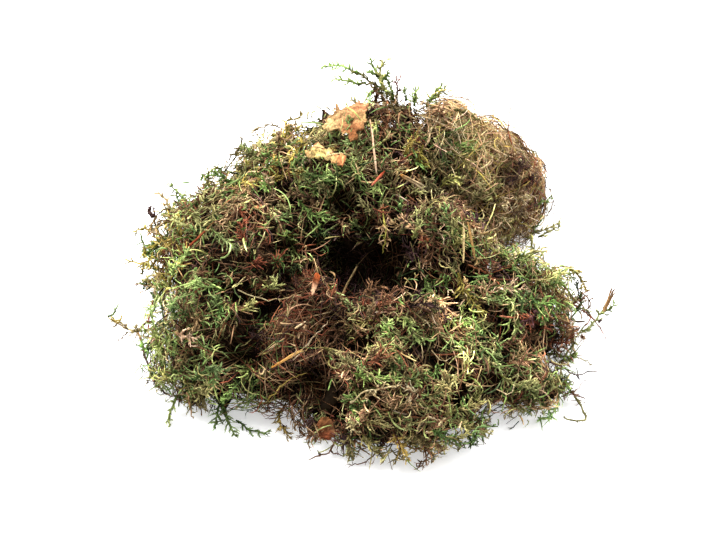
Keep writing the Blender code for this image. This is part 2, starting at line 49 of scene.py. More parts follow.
# The photograph's view, and the stage in metres
CAMERA_ELEVATION = math.radians(50)
CAMERA_DISTANCE = 0.66
CAMERA_TARGET = Vector((0, 0, 0.020))
VIEW_WIDTH = 0.2864
SENSOR_WIDTH = 36
PHOTO_MIDDLE = (358, 270)
PIXEL = 0.4
FACING = np.array((0, -math.cos(CAMERA_ELEVATION), math.sin(CAMERA_ELEVATION)))
VIEW_ACROSS = np.array((1.0, 0, 0))
VIEW_UP = np.array((0, math.sin(CAMERA_ELEVATION), math.cos(CAMERA_ELEVATION)))
TARGET = np.array(CAMERA_TARGET) / MM
EYE = TARGET + FACING * CAMERA_DISTANCE / MM
FLOOR_SIZE = 6
FLOOR_GREY = 0.75
FLOOR_GLOW = 0.45
WORLD_LIGHT = 0.6
LIGHTS = (
    ("key_light", (-0.15, 0.5, 1), 0.7, 34),
    ("left_light", (-0.75, 0.2, 0.5), 0.6, 14),
    ("right_light", (0.75, 0.2, 0.5), 0.6, 12),
)

# Materials by slot: roughness, and the scales of the fine and the broad mottling
LOOKS = {
    "moss_fresh": (0.62, 800, 45),
    "moss_olive": (0.66, 750, 40),
    "dead_stems": (0.75, 900, 60),
    "root_fibres": (0.6, 1100, 70),
    "bark": (0.8, 900, 240),
    "dead_leaf": (0.7, 1000, 300),
    "straw": (0.45, 1300, 200),
    "twig": (0.6, 1200, 200),
}
MOTTLE_FROM = (0.3, 0.7)
FINE_MOTTLE = (0.6, 1.35)
BROAD_MOTTLE = (0.8, 1.15)
BUMP_STRENGTH = 0.35
BUMP_HEIGHT = 0.0002

# Paints: each is a root and a tip colour, as sRGB out of 255
PAINTS = {
    "bright": ((68, 88, 28), (172, 188, 116)),
    "fresh": ((50, 70, 24), (132, 154, 90)),
    "deep": ((26, 38, 16), (76, 92, 56)),
    "olive": ((62, 56, 24), (154, 142, 96)),
    "lime": ((92, 88, 36), (198, 192, 128)),
    "yellow": ((98, 84, 30), (194, 172, 94)),
    "straw": ((126, 98, 58), (222, 200, 160)),
    "tan": ((102, 74, 40), (198, 166, 124)),
    "brown": ((50, 33, 19), (134, 98, 72)),
    "rust": ((58, 31, 19), (146, 86, 62)),
    "plum": ((31, 20, 18), (88, 64, 60)),
}

# Palettes: the share of each paint
PALETTES = {
    "fresh": {"fresh": 5, "bright": 4, "lime": 2, "deep": 2, "olive": 2, "brown": 1},
    "bright": {"bright": 6, "fresh": 3, "lime": 3, "olive": 1, "tan": 1},
    "deep": {"deep": 5, "fresh": 3, "olive": 2, "plum": 1},
    "olive": {"olive": 5, "lime": 3, "fresh": 2, "tan": 2, "brown": 2, "straw": 1},
    "meadow": {"lime": 3, "olive": 4, "bright": 3, "fresh": 3, "straw": 1, "tan": 1, "brown": 1, "deep": 1},
    "ochre": {"yellow": 5, "lime": 3, "straw": 2, "tan": 2, "fresh": 1},
    "straw": {"straw": 4, "tan": 6, "yellow": 2, "brown": 3, "olive": 1},
    "brown": {"brown": 5, "tan": 4, "rust": 2, "plum": 1},
    "rust": {"rust": 4, "brown": 4, "tan": 2, "plum": 2, "olive": 1},
    "plum": {"plum": 5, "brown": 4, "olive": 2, "tan": 1},
    # painted shade: the darkest paints, put in the hollows to darken them
    "shaded_hollow": {"plum": 6, "deep": 2, "brown": 2},
}

# Zones: palette, and centre and radius in mm
ZONES = (
    ("ochre", -76, -1, 30, 13),
    ("fresh", -59, -9, 42, 19),
    ("fresh", -51, -18, 38, 14),
    ("bright", -63, -49, 32, 18),
    ("straw", -64, -43, 34, 5),
    ("fresh", -50, -54, 19, 16),
    ("rust", -28, -16, 33, 13),
    ("rust", -50, -6, 44, 8),
    ("rust", -40, -9, 41, 9),
    ("ochre", -72, 10, 36, 9),
    ("olive", -51, 17, 45, 14),
    ("brown", -40, 10, 48, 9),
    ("ochre", -29, 39, 48, 13),
    ("meadow", 5, 39, 60, 15),
    ("brown", 16, 46, 58, 8),
    ("fresh", -13, 20, 52, 12),
    ("bright", -20, 16, 50, 9),
    ("bright", -5, 9, 48, 9),
    ("plum", 21, 29, 48, 9),
    ("plum", 27, 24, 35, 9),
    ("straw", 45, 35, 47, 18),
    ("rust", 70, 36, 36, 12),
    ("plum", 75, 30, 30, 8),
    ("straw", 62, 27, 20, 12),
    ("olive", 32, -2, 47, 12),
    ("plum", 16, 0, 44, 9),
    # painted shade over the central hollows: these two zones use the darkest palette
    ("shaded_hollow", 11, -8, 27, 14),
    ("shaded_hollow", 1, 4, 20, 13),
    ("fresh", 69, -30, 35, 13),
    ("fresh", 61, -15, 34, 11),
    ("rust", 75, -34, 22, 10),
    ("brown", 64, -37, 20, 9),
    ("meadow", 42, -16, 20, 11),
    ("olive", 27, -36, 39, 12),
    ("meadow", 50, -56, 22, 18),
    ("meadow", 69, -59, 17, 14),
    ("fresh", 34, -50, 32, 12),
    ("olive", 16, -58, 31, 12),
    ("olive", 16, -76, 21, 14),
    ("brown", -22, -65, 15, 12),
    ("olive", -10, -65, 22, 10),
    ("rust", -22, -33, 42, 14),
    ("rust", -26, -48, 30, 14),
    ("brown", -11, -40, 26, 12),
    # painted shade over the left hole
    ("shaded_hollow", -39, -37, 22, 12),
    ("olive", 41, 36, 47, 10),
    ("deep", 34, 38, 50, 7),
)
HOME_SHARE = 0.12

# Hollows: holes between the mats, darkened with painted shade, as centre and radius in mm and the most that
# they are thinned
HOLLOWS = (
    (-43, -43, 28, 12, 0.92),
    (-40, -30, 24, 11, 0.92),
    (11, -5, 31, 12, 0.85),
    (15, -13, 25, 9, 0.85),
    (2, 0, 44, 7, 0.75),
    (-7, 11, 47, 6, 0.65),
    (-12, -62, 21, 8, 0.85),
    (-17, -56, 22, 7, 0.8),
    (80, 38, 20, 7, 0.6),
    (0, 2, 24, 12, 0.7),
    (22, -12, 28, 8, 0.8),
    (5, -64, 28, 7, 0.8),
    (-28, -2, 34, 6, 0.75),
    (-47, -20, 30, 6, 0.8),
    (8, 20, 44, 7, 0.8),
    (48, -12, 26, 6, 0.8),
    (36, -62, 18, 6, 0.8),
    (-30, -12, 34, 9, 0.55),
    (-22, -28, 38, 7, 0.5),
    (-33, -26, 30, 7, 0.7),
)

# Fringes: thin places along the rims, in the same way
FRINGES = (
    (-72, 16, 39, 9, 0.6),
    (-57, 24, 43, 8, 0.5),
    (-39, 38, 46, 8, 0.6),
    (-23, 54, 42, 8, 0.7),
    (-15, 55, 48, 6, 0.6),
    (27, 55, 54, 8, 0.6),
    (36, 48, 58, 7, 0.5),
    (61, 24, 14, 8, 0.7),
    (75, 42, 36, 9, 0.6),
    (70, -7, 33, 6, 0.5),
    (78, -35, 20, 8, 0.6),
    (-76, -3, 26, 9, 0.65),
    (-75, -22, 22, 7, 0.5),
    (-59, -56, 4, 8, 0.6),
    (-34, -61, 6, 9, 0.7),
    (-20, -68, 12, 8, 0.6),
    (78, -55, 5, 8, 0.5),
)

# Dents: where the root fibres lie flatter than their solid, in the same way
DENTS = (
    (56, 60, 44, 14, 1),
    (68, 50, 45, 14, 1),
    (80, 40, 20, 9, 0.8),
)
DENT_WAY = (-0.2, -0.35, -0.9)
HOLLOW_DEPTH = 8
# painted shade: how much darker the colour is in the barest middle of a hollow
HOLLOW_SHADE = 0.72
HOLE_EDGE = 1.6
HOLE_SLOPE = 1.4

# Small gaps all over the clump: how many to a square centimetre, their radii in mm and how bare they are
GAPS = 1.1
GAP_RADII = (1.6, 4.2)
GAP_SHARE = 0.8

# Light and dark: random patches through the clump, and painted shade, with the brown of dead stems, on
# strands that lie deep, in mm
PATCH_WAVES = 16
PATCH_SIZES = (14, 42)
PATCH_CONTRAST = 0.26
SHADE_START = 1.2
SHADE_REACH = 7
DEEP_SHADE_SRGB = (36, 26, 13)
DEEP_LIGHT = 0.4

# Blanket: one smooth surface over all the mats, which the moss creeps on, in mm
CLOSING = 3.5
BLANKET_VOXEL = 2.6
BLANKET_SMOOTH = 3
SIGHT_RAYS = 8
SIGHT_REACH = 38
SIGHT_LEAN = 1.1
SIGHT_LOWEST = -0.25
SIGHT_BLUR = 3
UNDERSIDE_HEIGHT = 6
UNDERSIDE_SHARE = 0.1

# Felt: the core of each mat and of the whole clump, near black: partly dark dead matter, partly painted
# shade, in mm
BED_VOXEL = 3.6
BED_SMOOTH = 4
BED_DEPTH = 9.5
BED_SHARE = 0.42
# painted shade in part: the felt's near-black colour
FELT_AND_SHADE_TINT = (24, 17, 10)
FELT_ROUGHNESS = 0.45
FELT_CONTRAST = 0.7
FELT_LOWEST = 0.3
CORE_CELL = 4
CORE_INSET = 9
CORE_DEPTH = 8
CORE_LEAST = 2
CORE_BASE = 0.6
CORE_HALF = 0.55
CORE_VOXEL = 3
BLOCK_CORNERS = ((-1, -1), (1, -1), (1, 1), (-1, 1))
BLOCK_FACES = ((3, 2, 1, 0), (4, 5, 6, 7), (0, 1, 5, 4), (1, 2, 6, 5), (2, 3, 7, 6), (3, 0, 4, 7))

# Strands, in mm
LOWEST = 0.7
CELL_EDGE = 0.06
CAP_STEP = 0.04
LIFT_LOW = -4.5
LIFT_SPREAD = 2.6
LIFT_TOP = 4.5
LIFT_FULL = 14

# Leaves, in mm or as a share of their size
LEAF_FACES = np.array([(0, 3, 1), (1, 3, 2), (2, 3, 0), (0, 1, 2)])
LEAF_KEEL = 0.4
LEAF_LOWEST = 0.15
LEAF_TURN = math.radians(137.5)
LEAF_SPREAD = (0.35, 0.85)
LEAF_SIZES = (0.75, 1.2)
LEAF_LIGHT = (0.85, 1.3)
LEAFY_TAPER = 0.6

# Fronds and their branchlets, in mm and radians
FROND_RINGS = 8
FROND_LENGTHS = (7, 19)
FROND_RISE = ((0, 0.3, 0.75, 1), (-3, 0.8, 1.8, 2))
FROND_RADII = (0.42, 0.25)
FROND_TURN = 0.28
BRANCH_RINGS = 5
BRANCH_PAIRS = 8
BRANCH_REACH = 0.26
BRANCH_LEAST = 1.5
BRANCH_ANGLES = (0.6, 1.35)
BRANCH_RADII = (0.24, 0.46)
BRANCH_TAPER = np.array((0.8, 1, 1, 0.85, 0))
BRANCH_LEAFY_SHARE = 0.65
BRANCH_LEAVES = 7
BRANCH_LEAF_LENGTHS = (1, 1.7)
BRANCH_LEAF_WIDTHS = (0.45, 0.65)

# Shoots and curls, in mm
SHOOT_RINGS = 5
SHOOT_LENGTHS = (4, 9)
SHOOT_RADII = (0.22, 0.34)
SHOOT_LEAVES = 12
SHOOT_LEAF_LENGTHS = (1.1, 1.9)
SHOOT_LEAF_WIDTHS = (0.45, 0.7)
CURL_RINGS = 6
CURL_LENGTHS = (2.5, 8)
CURL_RADII = (0.18, 0.4)
CURL_TAPER = np.array((0.75, 1, 1.05, 1, 0.8, 0))
CURL_LEAFY_SHARE = 0.5
CURL_LEAFY_RINGS = (0, 2, 3, 5)
CURL_LEAFY_RADII = (0.18, 0.3)
CURL_LEAVES = 7
CURL_LEAF_LENGTHS = (0.9, 1.5)
CURL_LEAF_WIDTHS = (0.4, 0.6)

# Fibres by slot: the shortest length, how high they lie at most, the height of their loops, their bend
# at each step and the largest radius, in mm and radians
FIBRES = {
    "root_fibres": (9, 1.6, 5, 0.26, 0.22),
    "dead_stems": (8, 1.2, 0, 0.2, 0.28),
    "moss_fresh": (8, -0.8, 0, 0.2, 0.28),
    "moss_olive": (8, -0.8, 0, 0.2, 0.28),
}
FIBRE_RINGS = 6
FIBRE_TAPER = np.array((0.7, 1, 1, 0.9, 0.7, 0))
FIBRE_FLOOR = 5
FIBRE_DEEPEST = -7
FIBRE_LONGEST = 24
FIBRE_THINNEST = 0.12


@dataclass
class Mat:
    """How one mat is dressed: counts are for each square centimetre of its open surface."""

    slot: str
    home: str
    fronds: float = 2.2
    shoots: float = 6
    curls: float = 15.5
    fibres: float = 10
    flow: tuple = (0, 0, 0)
    bed: float = BED_SHARE


MATS = {
    "moss_mat_left": Mat("moss_fresh", "fresh", flow=(-0.4, -0.3, 0)),
    "moss_mat_front_left": Mat("moss_fresh", "fresh", flow=(-0.3, -0.6, -0.2)),
    "dead_stem_ridge": Mat("dead_stems", "rust", 0.5, 3, 8, 42, (-0.5, -0.8, 0)),
    "moss_mat_top": Mat("moss_olive", "olive", flow=(-0.1, 0.4, 0)),
    "root_fibre_mat": Mat("root_fibres", "straw", 0.2, 0.8, 2, 80, (1.4, -0.9, 0)),
    "moss_mat_centre_right": Mat("moss_olive", "olive"),
    "moss_mat_front": Mat("moss_olive", "meadow", flow=(0.2, -0.6, 0)),
    "moss_mat_right": Mat("moss_fresh", "meadow", flow=(0.5, 0, 0)),
    "moss_mat_front_right": Mat("moss_olive", "meadow", flow=(0.6, -0.4, 0)),
    "moss_mat_back_left": Mat("moss_olive", "olive", flow=(-0.4, 0.3, 0)),
    "moss_mat_back": Mat("moss_olive", "olive", flow=(0, 0.6, 0)),
    # its own palette is the darkest one, painted shade
    "dead_stem_bed": Mat("dead_stems", "shaded_hollow", 1, 6, 20, 80, bed=0.1),
}

# Stray shoots by CAD node: paint, radius in mm, branchlet pairs and branchlet length in mm (0 pairs is a
# bare stalk), and places in the photograph from root to tip, across and down in pixels
SHOOTS = {
    "top_shoot_long": (
        ("olive", 0.7, 8, 2.4, 398, 104, 392, 96, 383, 89, 371, 82, 361, 75, 352, 70),
        ("bright", 0.7, 8, 2, 361, 75, 352, 70, 345, 67, 337, 65, 330, 66, 322, 67),
    ),
    "top_shoot_short": (
        ("bright", 0.65, 6, 1.6, 366, 83, 357, 84, 349, 81, 341, 79, 331, 80),
        ("brown", 0.3, 0, 0, 362, 82, 356, 88, 352, 96),
    ),
    "top_rosette_left": (
        ("bright", 0.75, 6, 2.4, 388, 95, 383, 86, 379, 77, 376, 70, 372, 64, 369, 57),
        ("fresh", 0.5, 2, 1.6, 379, 77, 374, 73, 369, 71),
        ("brown", 0.4, 5, 2.4, 374, 104, 377, 96, 372, 86),
        ("olive", 0.45, 5, 2, 384, 102, 380, 92, 373, 82),
    ),
    "top_rosette_right": (
        ("lime", 0.7, 5, 2.2, 388, 97, 384, 88, 381, 78, 380, 70, 383, 58),
        ("bright", 0.6, 4, 2, 392, 100, 392, 90, 388, 82, 382, 75),
        ("lime", 0.4, 1, 1.4, 380, 70, 384, 63, 389, 58),
        ("fresh", 0.5, 2, 1.8, 382, 82, 386, 76, 389, 73),
    ),
    "top_shoot_red_tip": (
        ("rust", 0.36, 1, 1.4, 396, 100, 397, 88, 396, 79, 395, 68),
        ("rust", 0.36, 0, 0, 397, 84, 400, 79, 400, 74),
        ("fresh", 0.45, 2, 1.6, 406, 101, 405, 94, 404, 87),
    ),
    "top_shoot_right": (
        ("bright", 0.75, 6, 2.4, 426, 106, 431, 99, 435, 94, 443, 84),
        ("lime", 0.5, 2, 2, 436, 97, 441, 91, 446, 90),
        ("bright", 0.65, 6, 2.4, 414, 106, 415, 97, 416, 88),
    ),
    "right_shoot_upper": (
        ("fresh", 0.5, 4, 1.8, 520, 212, 530, 208, 540, 203, 552, 198),
    ),
    "right_feather_shoot": (
        ("lime", 0.45, 5, 1.8, 534, 270, 533, 256, 532, 244, 531, 236),
        ("lime", 0.4, 4, 1.2, 530, 233, 542, 231, 553, 226, 561, 222),
        ("lime", 0.4, 3, 1.2, 538, 237, 550, 231, 562, 226),
        ("fresh", 0.4, 1, 1.2, 531, 228, 536, 226, 542, 220),
    ),
    "right_arched_shoot": (
        ("rust", 0.45, 0, 0, 534, 276, 541, 272, 550, 270, 560, 267, 569, 267),
        ("yellow", 0.6, 7, 1.8, 566, 267, 573, 270, 579, 277, 584, 284, 585, 291),
        ("bright", 0.5, 4, 1.6, 558, 272, 564, 272, 569, 274, 573, 279),
        ("rust", 0.5, 0, 0, 537, 275, 545, 274, 553, 277, 551, 284, 543, 290, 537, 284, 536, 276),
        ("bright", 0.5, 2, 1.2, 541, 279, 545, 279, 546, 283, 542, 284),
    ),
    "right_sprig": (
        ("lime", 0.55, 4, 1.6, 582, 331, 588, 329, 594, 322, 600, 314, 604, 308),
        ("bright", 0.5, 3, 1.6, 600, 314, 606, 311, 611, 308, 615, 302),
        ("plum", 0.5, 0, 0, 601, 319, 600, 321, 599, 323),
        ("olive", 0.8, 3, 2, 571, 330, 572, 342, 574, 352),
        ("bright", 0.7, 6, 2.4, 545, 353, 556, 354, 566, 357, 575, 354),
        ("bright", 0.5, 4, 2, 560, 362, 568, 360, 576, 354),
        ("olive", 0.3, 0, 0, 575, 354, 581, 361, 588, 366, 591, 370, 587, 371),
    ),
    "front_shoot_left": (
        ("fresh", 0.7, 6, 2.2, 222, 402, 226, 415, 230, 427, 237, 437),
        ("fresh", 0.6, 4, 1.8, 219, 404, 217, 416, 214, 428),
    ),
    "front_shoot_hooked": (
        ("fresh", 0.45, 4, 1.4, 236, 420, 246, 428, 255, 431, 264, 434, 270, 430),
        ("yellow", 0.5, 6, 1.8, 284, 406, 279, 418, 284, 430, 290, 438),
    ),
    "front_shoot_corner": (
        ("bright", 0.6, 4, 2, 178, 396, 172, 409, 169, 418, 169, 426),
    ),
    "left_sprig": (
        ("tan", 0.6, 2, 1.6, 154, 321, 145, 323, 137, 331, 127, 328, 116, 323, 108, 317),
        ("bright", 0.45, 1, 1.2, 108, 317, 114, 313, 119, 304),
        ("tan", 0.7, 0, 0, 137, 330, 141, 340, 144, 352),
        ("brown", 0.28, 0, 0, 128, 332, 121, 340, 115, 351),
        ("yellow", 0.4, 3, 1.6, 128, 329, 119, 321, 112, 320),
    ),
    "left_shoot_low": (
        ("deep", 0.8, 6, 1.6, 162, 288, 155, 286, 148, 285, 136, 283),
        ("fresh", 0.6, 2, 1.6, 164, 305, 157, 299, 150, 292),
    ),
    "left_shoot_thin": (
        ("yellow", 0.6, 3, 1.6, 165, 270, 150, 266, 137, 263, 123, 258),
        ("olive", 0.6, 1, 1.2, 144, 264, 143, 269, 141, 274),
        ("olive", 0.6, 2, 1.6, 160, 262, 152, 255, 148, 244),
    ),
    "left_shoot_yellow": (
        ("yellow", 0.55, 3, 1.4, 163, 236, 151, 230, 140, 229, 130, 234),
    ),
    "left_shoot_upper": (
        ("lime", 0.55, 5, 1.8, 172, 222, 170, 213, 166, 201, 158, 192),
        ("bright", 0.6, 6, 2, 193, 208, 187, 201, 179, 193, 169, 184),
        ("fresh", 0.5, 4, 2, 186, 214, 183, 206, 178, 200, 176, 192),
    ),
    "back_left_shoot": (
        ("fresh", 0.7, 8, 2, 236, 186, 226, 180, 220, 176, 212, 175, 201, 177),
        ("brown", 0.45, 0, 0, 228, 176, 218, 171, 209, 173, 201, 176),
        ("lime", 0.4, 3, 1.8, 212, 190, 208, 182, 210, 172, 218, 167),
    ),
    "back_left_shoot_upper": (
        ("fresh", 0.55, 5, 2.2, 264, 162, 254, 155, 247, 148, 240, 146),
        ("olive", 0.4, 3, 1.8, 258, 158, 250, 153, 242, 154),
    ),
}

# Bare stray stems and roots in the same way, with rootlets and their length
STEMS = {
    "top_dark_fibre": (
        ("rust", 0.32, 2, 3, 512, 144, 508, 131, 509, 117, 512, 106),
        ("brown", 0.28, 0, 0, 508, 131, 501, 126, 495, 121),
    ),
    "top_fibre_loop": (
        ("plum", 0.34, 3, 3, 514, 148, 526, 148, 534, 152, 543, 163, 549, 178),
        ("plum", 0.3, 2, 3, 548, 174, 545, 186, 553, 191),
        ("brown", 0.32, 6, 4, 520, 153, 532, 158, 540, 170, 543, 182, 538, 192),
    ),
    "right_dark_twig": (
        ("plum", 0.38, 2, 2, 566, 304, 569, 297, 576, 297, 582, 298, 584, 294),
        ("plum", 0.36, 1, 2, 582, 298, 580, 304, 577, 308),
        ("brown", 0.32, 2, 3, 566, 300, 578, 306, 588, 313, 596, 320),
    ),
    "right_thin_stem": (
        ("rust", 0.32, 3, 2, 574, 305, 586, 313, 596, 323, 604, 335, 607, 340),
    ),
    "right_dark_root": (
        ("plum", 0.38, 2, 2, 549, 362, 563, 367, 570, 372, 577, 375, 590, 372, 606, 371),
        ("plum", 0.3, 0, 0, 577, 375, 579, 380),
    ),
    "right_root_loop": (
        ("olive", 0.55, 10, 1.8, 574, 396, 583, 410, 586, 419, 578, 420, 570, 420, 562, 416),
    ),
    "right_brown_tuft": (
        ("brown", 0.45, 34, 4.2, 560, 381, 567, 386, 573, 394, 580, 404),
        ("brown", 0.35, 16, 3.6, 562, 396, 568, 394, 574, 390),
        ("brown", 0.2, 0, 0, 572, 394, 583, 383, 594, 379),
    ),
    "front_dark_root": (
        ("brown", 0.42, 3, 2, 338, 440, 332, 445, 331, 451, 327, 453, 322, 456, 317, 456, 304, 462),
        ("brown", 0.34, 1, 2, 331, 451, 334, 453, 341, 455, 348, 455),
        ("plum", 0.32, 0, 0, 320, 456, 319, 453, 317, 450),
    ),
    "front_thin_root": (
        ("brown", 0.3, 4, 3, 379, 450, 370, 459, 358, 464, 346, 465),
    ),
    "left_dark_root": (
        ("plum", 0.55, 9, 2.2, 144, 350, 148, 365, 154, 379, 162, 390, 172, 400),
        ("rust", 0.5, 12, 3, 153, 300, 150, 312, 148, 324, 147, 338),
    ),
    "left_crumb_stem": (
        ("plum", 0.62, 7, 1.6, 164, 242, 159, 234, 156, 225, 154, 216, 155, 204),
        ("plum", 0.95, 16, 1.4, 153, 217, 150, 213, 149, 210, 151, 207),
    ),
}

# Sprigs that stand out on the clump, by where they show: paint, branchlet pairs and length, how far they
# stand off the mats, and places across and up the photograph's view, in mm
SPRIGS = (
    ("olive", 6, 2.4, 3, 16, 14, 21, 19, 27, 25),
    ("lime", 5, 2.2, 3, 22, 12, 24, 18, 23, 25),
    ("tan", 5, 2.4, 3, 27, 14, 22, 17, 17, 22),
    ("fresh", 4, 2, 5, -3.2, 51, -3.6, 58, -1.6, 64),
    ("olive", 4, 2, 5, -0.6, 50, 0.2, 56, 1.6, 62),
    ("yellow", 9, 3, 2.2, 40, -1.2, 42, -7, 46.5, -13, 50, -18.5),
    ("bright", 6, 2.6, 1.8, 19, -19.5, 22, -25, 25.5, -30.5),
    ("lime", 8, 2.4, 1.5, -13.5, -31, -6, -35, 4, -41, 12, -46.5),
    ("straw", 4, 1.8, 1.8, 1, -52, 8, -48, 17, -46),
    ("straw", 0, 1.2, 2, -3, -53, 3, -48.5, 6.5, -48, 7, -51),
    ("bright", 8, 2, 1.5, -2.5, -41, 6, -43.5, 17, -43),
    ("lime", 6, 2.6, 2, -45, 37, -44.5, 29, -39.5, 23.5, -32, 21),
    ("lime", 6, 2.6, 2, -46.5, -16.5, -43.5, -14.5, -40.5, -12.5),
    ("lime", 4, 1.6, 2, -38, -4, -35, -7.5, -32.5, -5, -34.5, -3),
    ("yellow", 4, 2.2, 2, 18.5, 46, 20.5, 50, 24, 53.5),
    ("straw", 5, 2.4, 1.5, -73, -25, -69, -26.5, -65, -27.5),
    ("straw", 4, 2.2, 1.5, -78, -14, -75, -15, -72.5, -16),
    ("bright", 7, 2.4, 1.8, -12, -6, -8, -11, -3, -14),
    ("fresh", 7, 2.8, 1.8, 26.5, -3, 28, -9, 31.5, -15.5),
    ("bright", 8, 2.8, 1.8, 60, -14, 64, -21, 62, -28),
    ("lime", 8, 2.6, 1.8, 34, -58, 42, -55, 51, -53),
    ("lime", 8, 2.6, 1.8, 57, -42, 64, -46, 71, -45),
    ("fresh", 8, 3, 1.8, -66, -44, -60, -40, -52, -40),
    ("bright", 8, 2.8, 1.8, -60, 18, -54, 12, -47, 8),
    ("lime", 7, 2.8, 1.8, -68, 24, -64, 19, -61, 13),
    ("fresh", 7, 2.8, 1.8, -24, 28, -18, 22, -10, 20),
    ("lime", 7, 2.8, 1.8, 48, -30, 54, -35, 57, -41),
    ("olive", 6, 2.6, 5, 28.8, 48, 31.2, 42, 35.6, 36.8),
    ("lime", 7, 2.6, 5, 32.8, 33, 37.6, 36.4, 41.6, 34.8),
    ("olive", 7, 2.6, 5, 35.6, 28, 38.8, 31.2, 41.6, 36),
    ("olive", 7, 2.8, 5, 44.8, 26, 48, 29.2, 50, 33.6),
    ("olive", 7, 2.6, 5, 50.4, 27, 52.8, 31, 56.6, 34.8),
    ("olive", 7, 2.6, 5, 24.8, 38, 28, 34.8, 33.6, 31),
    ("olive", 7, 2.6, 4, 37.6, 48, 41.6, 44.8, 44.8, 40),
    ("fresh", 6, 2.2, 3.5, 38.4, 50.6, 42.8, 49.6, 46.6, 47.4),
    ("olive", 6, 2.2, 4, 38.4, 64, 43, 63, 48, 60),
    ("yellow", 5, 2.2, 2, 26, 50, 24.6, 45, 27.6, 41),
    ("olive", 8, 2.8, 1.5, -4, -66, -3, -71, -2, -75.5),
    ("lime", 8, 2.8, 1.5, 2, -66, 6, -71, 11, -75),
    ("yellow", 9, 2.8, 1.5, 14, -66, 18, -71, 20, -76),
    ("olive", 8, 2.8, 1.5, 22, -65, 27, -69, 29, -74),
    ("fresh", 8, 2.8, 1.5, 30, -64, 36, -67, 43, -69),
    ("lime", 8, 2.8, 1.5, 40, -62, 47, -64, 53, -65),
)

# Dead stems and straws on the clump in the same way: paint, radius, lift and places, in mm
STRAYS = (
    ("rust", 0.4, 2, 44, 2, 52, -1, 62, 1.5),
    ("rust", 0.35, 2, 46, -1, 54, -3.5, 65, -4),
    ("plum", 0.4, 2, 45, 5, 55, 3, 64, -9),
    ("rust", 0.5, 2.2, 49, 0.5, 53, -3, 57, -6),
    ("straw", 0.4, 2, 28, -58.8, 34, -60.8),
    ("straw", 0.4, 2, 32, -62, 35, -59.2),
    ("tan", 0.4, 2, -21, -22, -24, -27.5),
    ("yellow", 0.35, 2, 10, 24, 11, 14, 9.5, 6),
    ("tan", 0.3, 2, 12, 21, 9, 12, 12.5, 7),
    ("tan", 0.35, 2, 24, 48, 27, 44, 28, 40),
    ("straw", 0.35, 1.5, -80, 31, -75, 26, -74.5, 16),
    ("tan", 0.45, 1, -68.4, -48.8, -67.2, -54, -66, -60),
    ("plum", 0.3, 1.5, -63, 38, -58, 36, -52, 34),
    ("plum", 0.3, 1.5, -61, 34, -57, 37, -54, 41),
    ("brown", 0.35, 2, 15, -66, 17, -71, 20, -74),
    ("straw", 0.3, 2, -48, -8, -36, -12, -22, -10),
    ("brown", 0.35, 2, -56, 3, -46, 1, -38, -4),
    ("rust", 0.35, 2, -42, -14, -33, -12, -22, -18),
    ("straw", 0.25, 2, -26, -36, -18, -27, -12, -20),
    ("yellow", 0.3, 2, -36, -52, -28, -44, -20, -41),
)

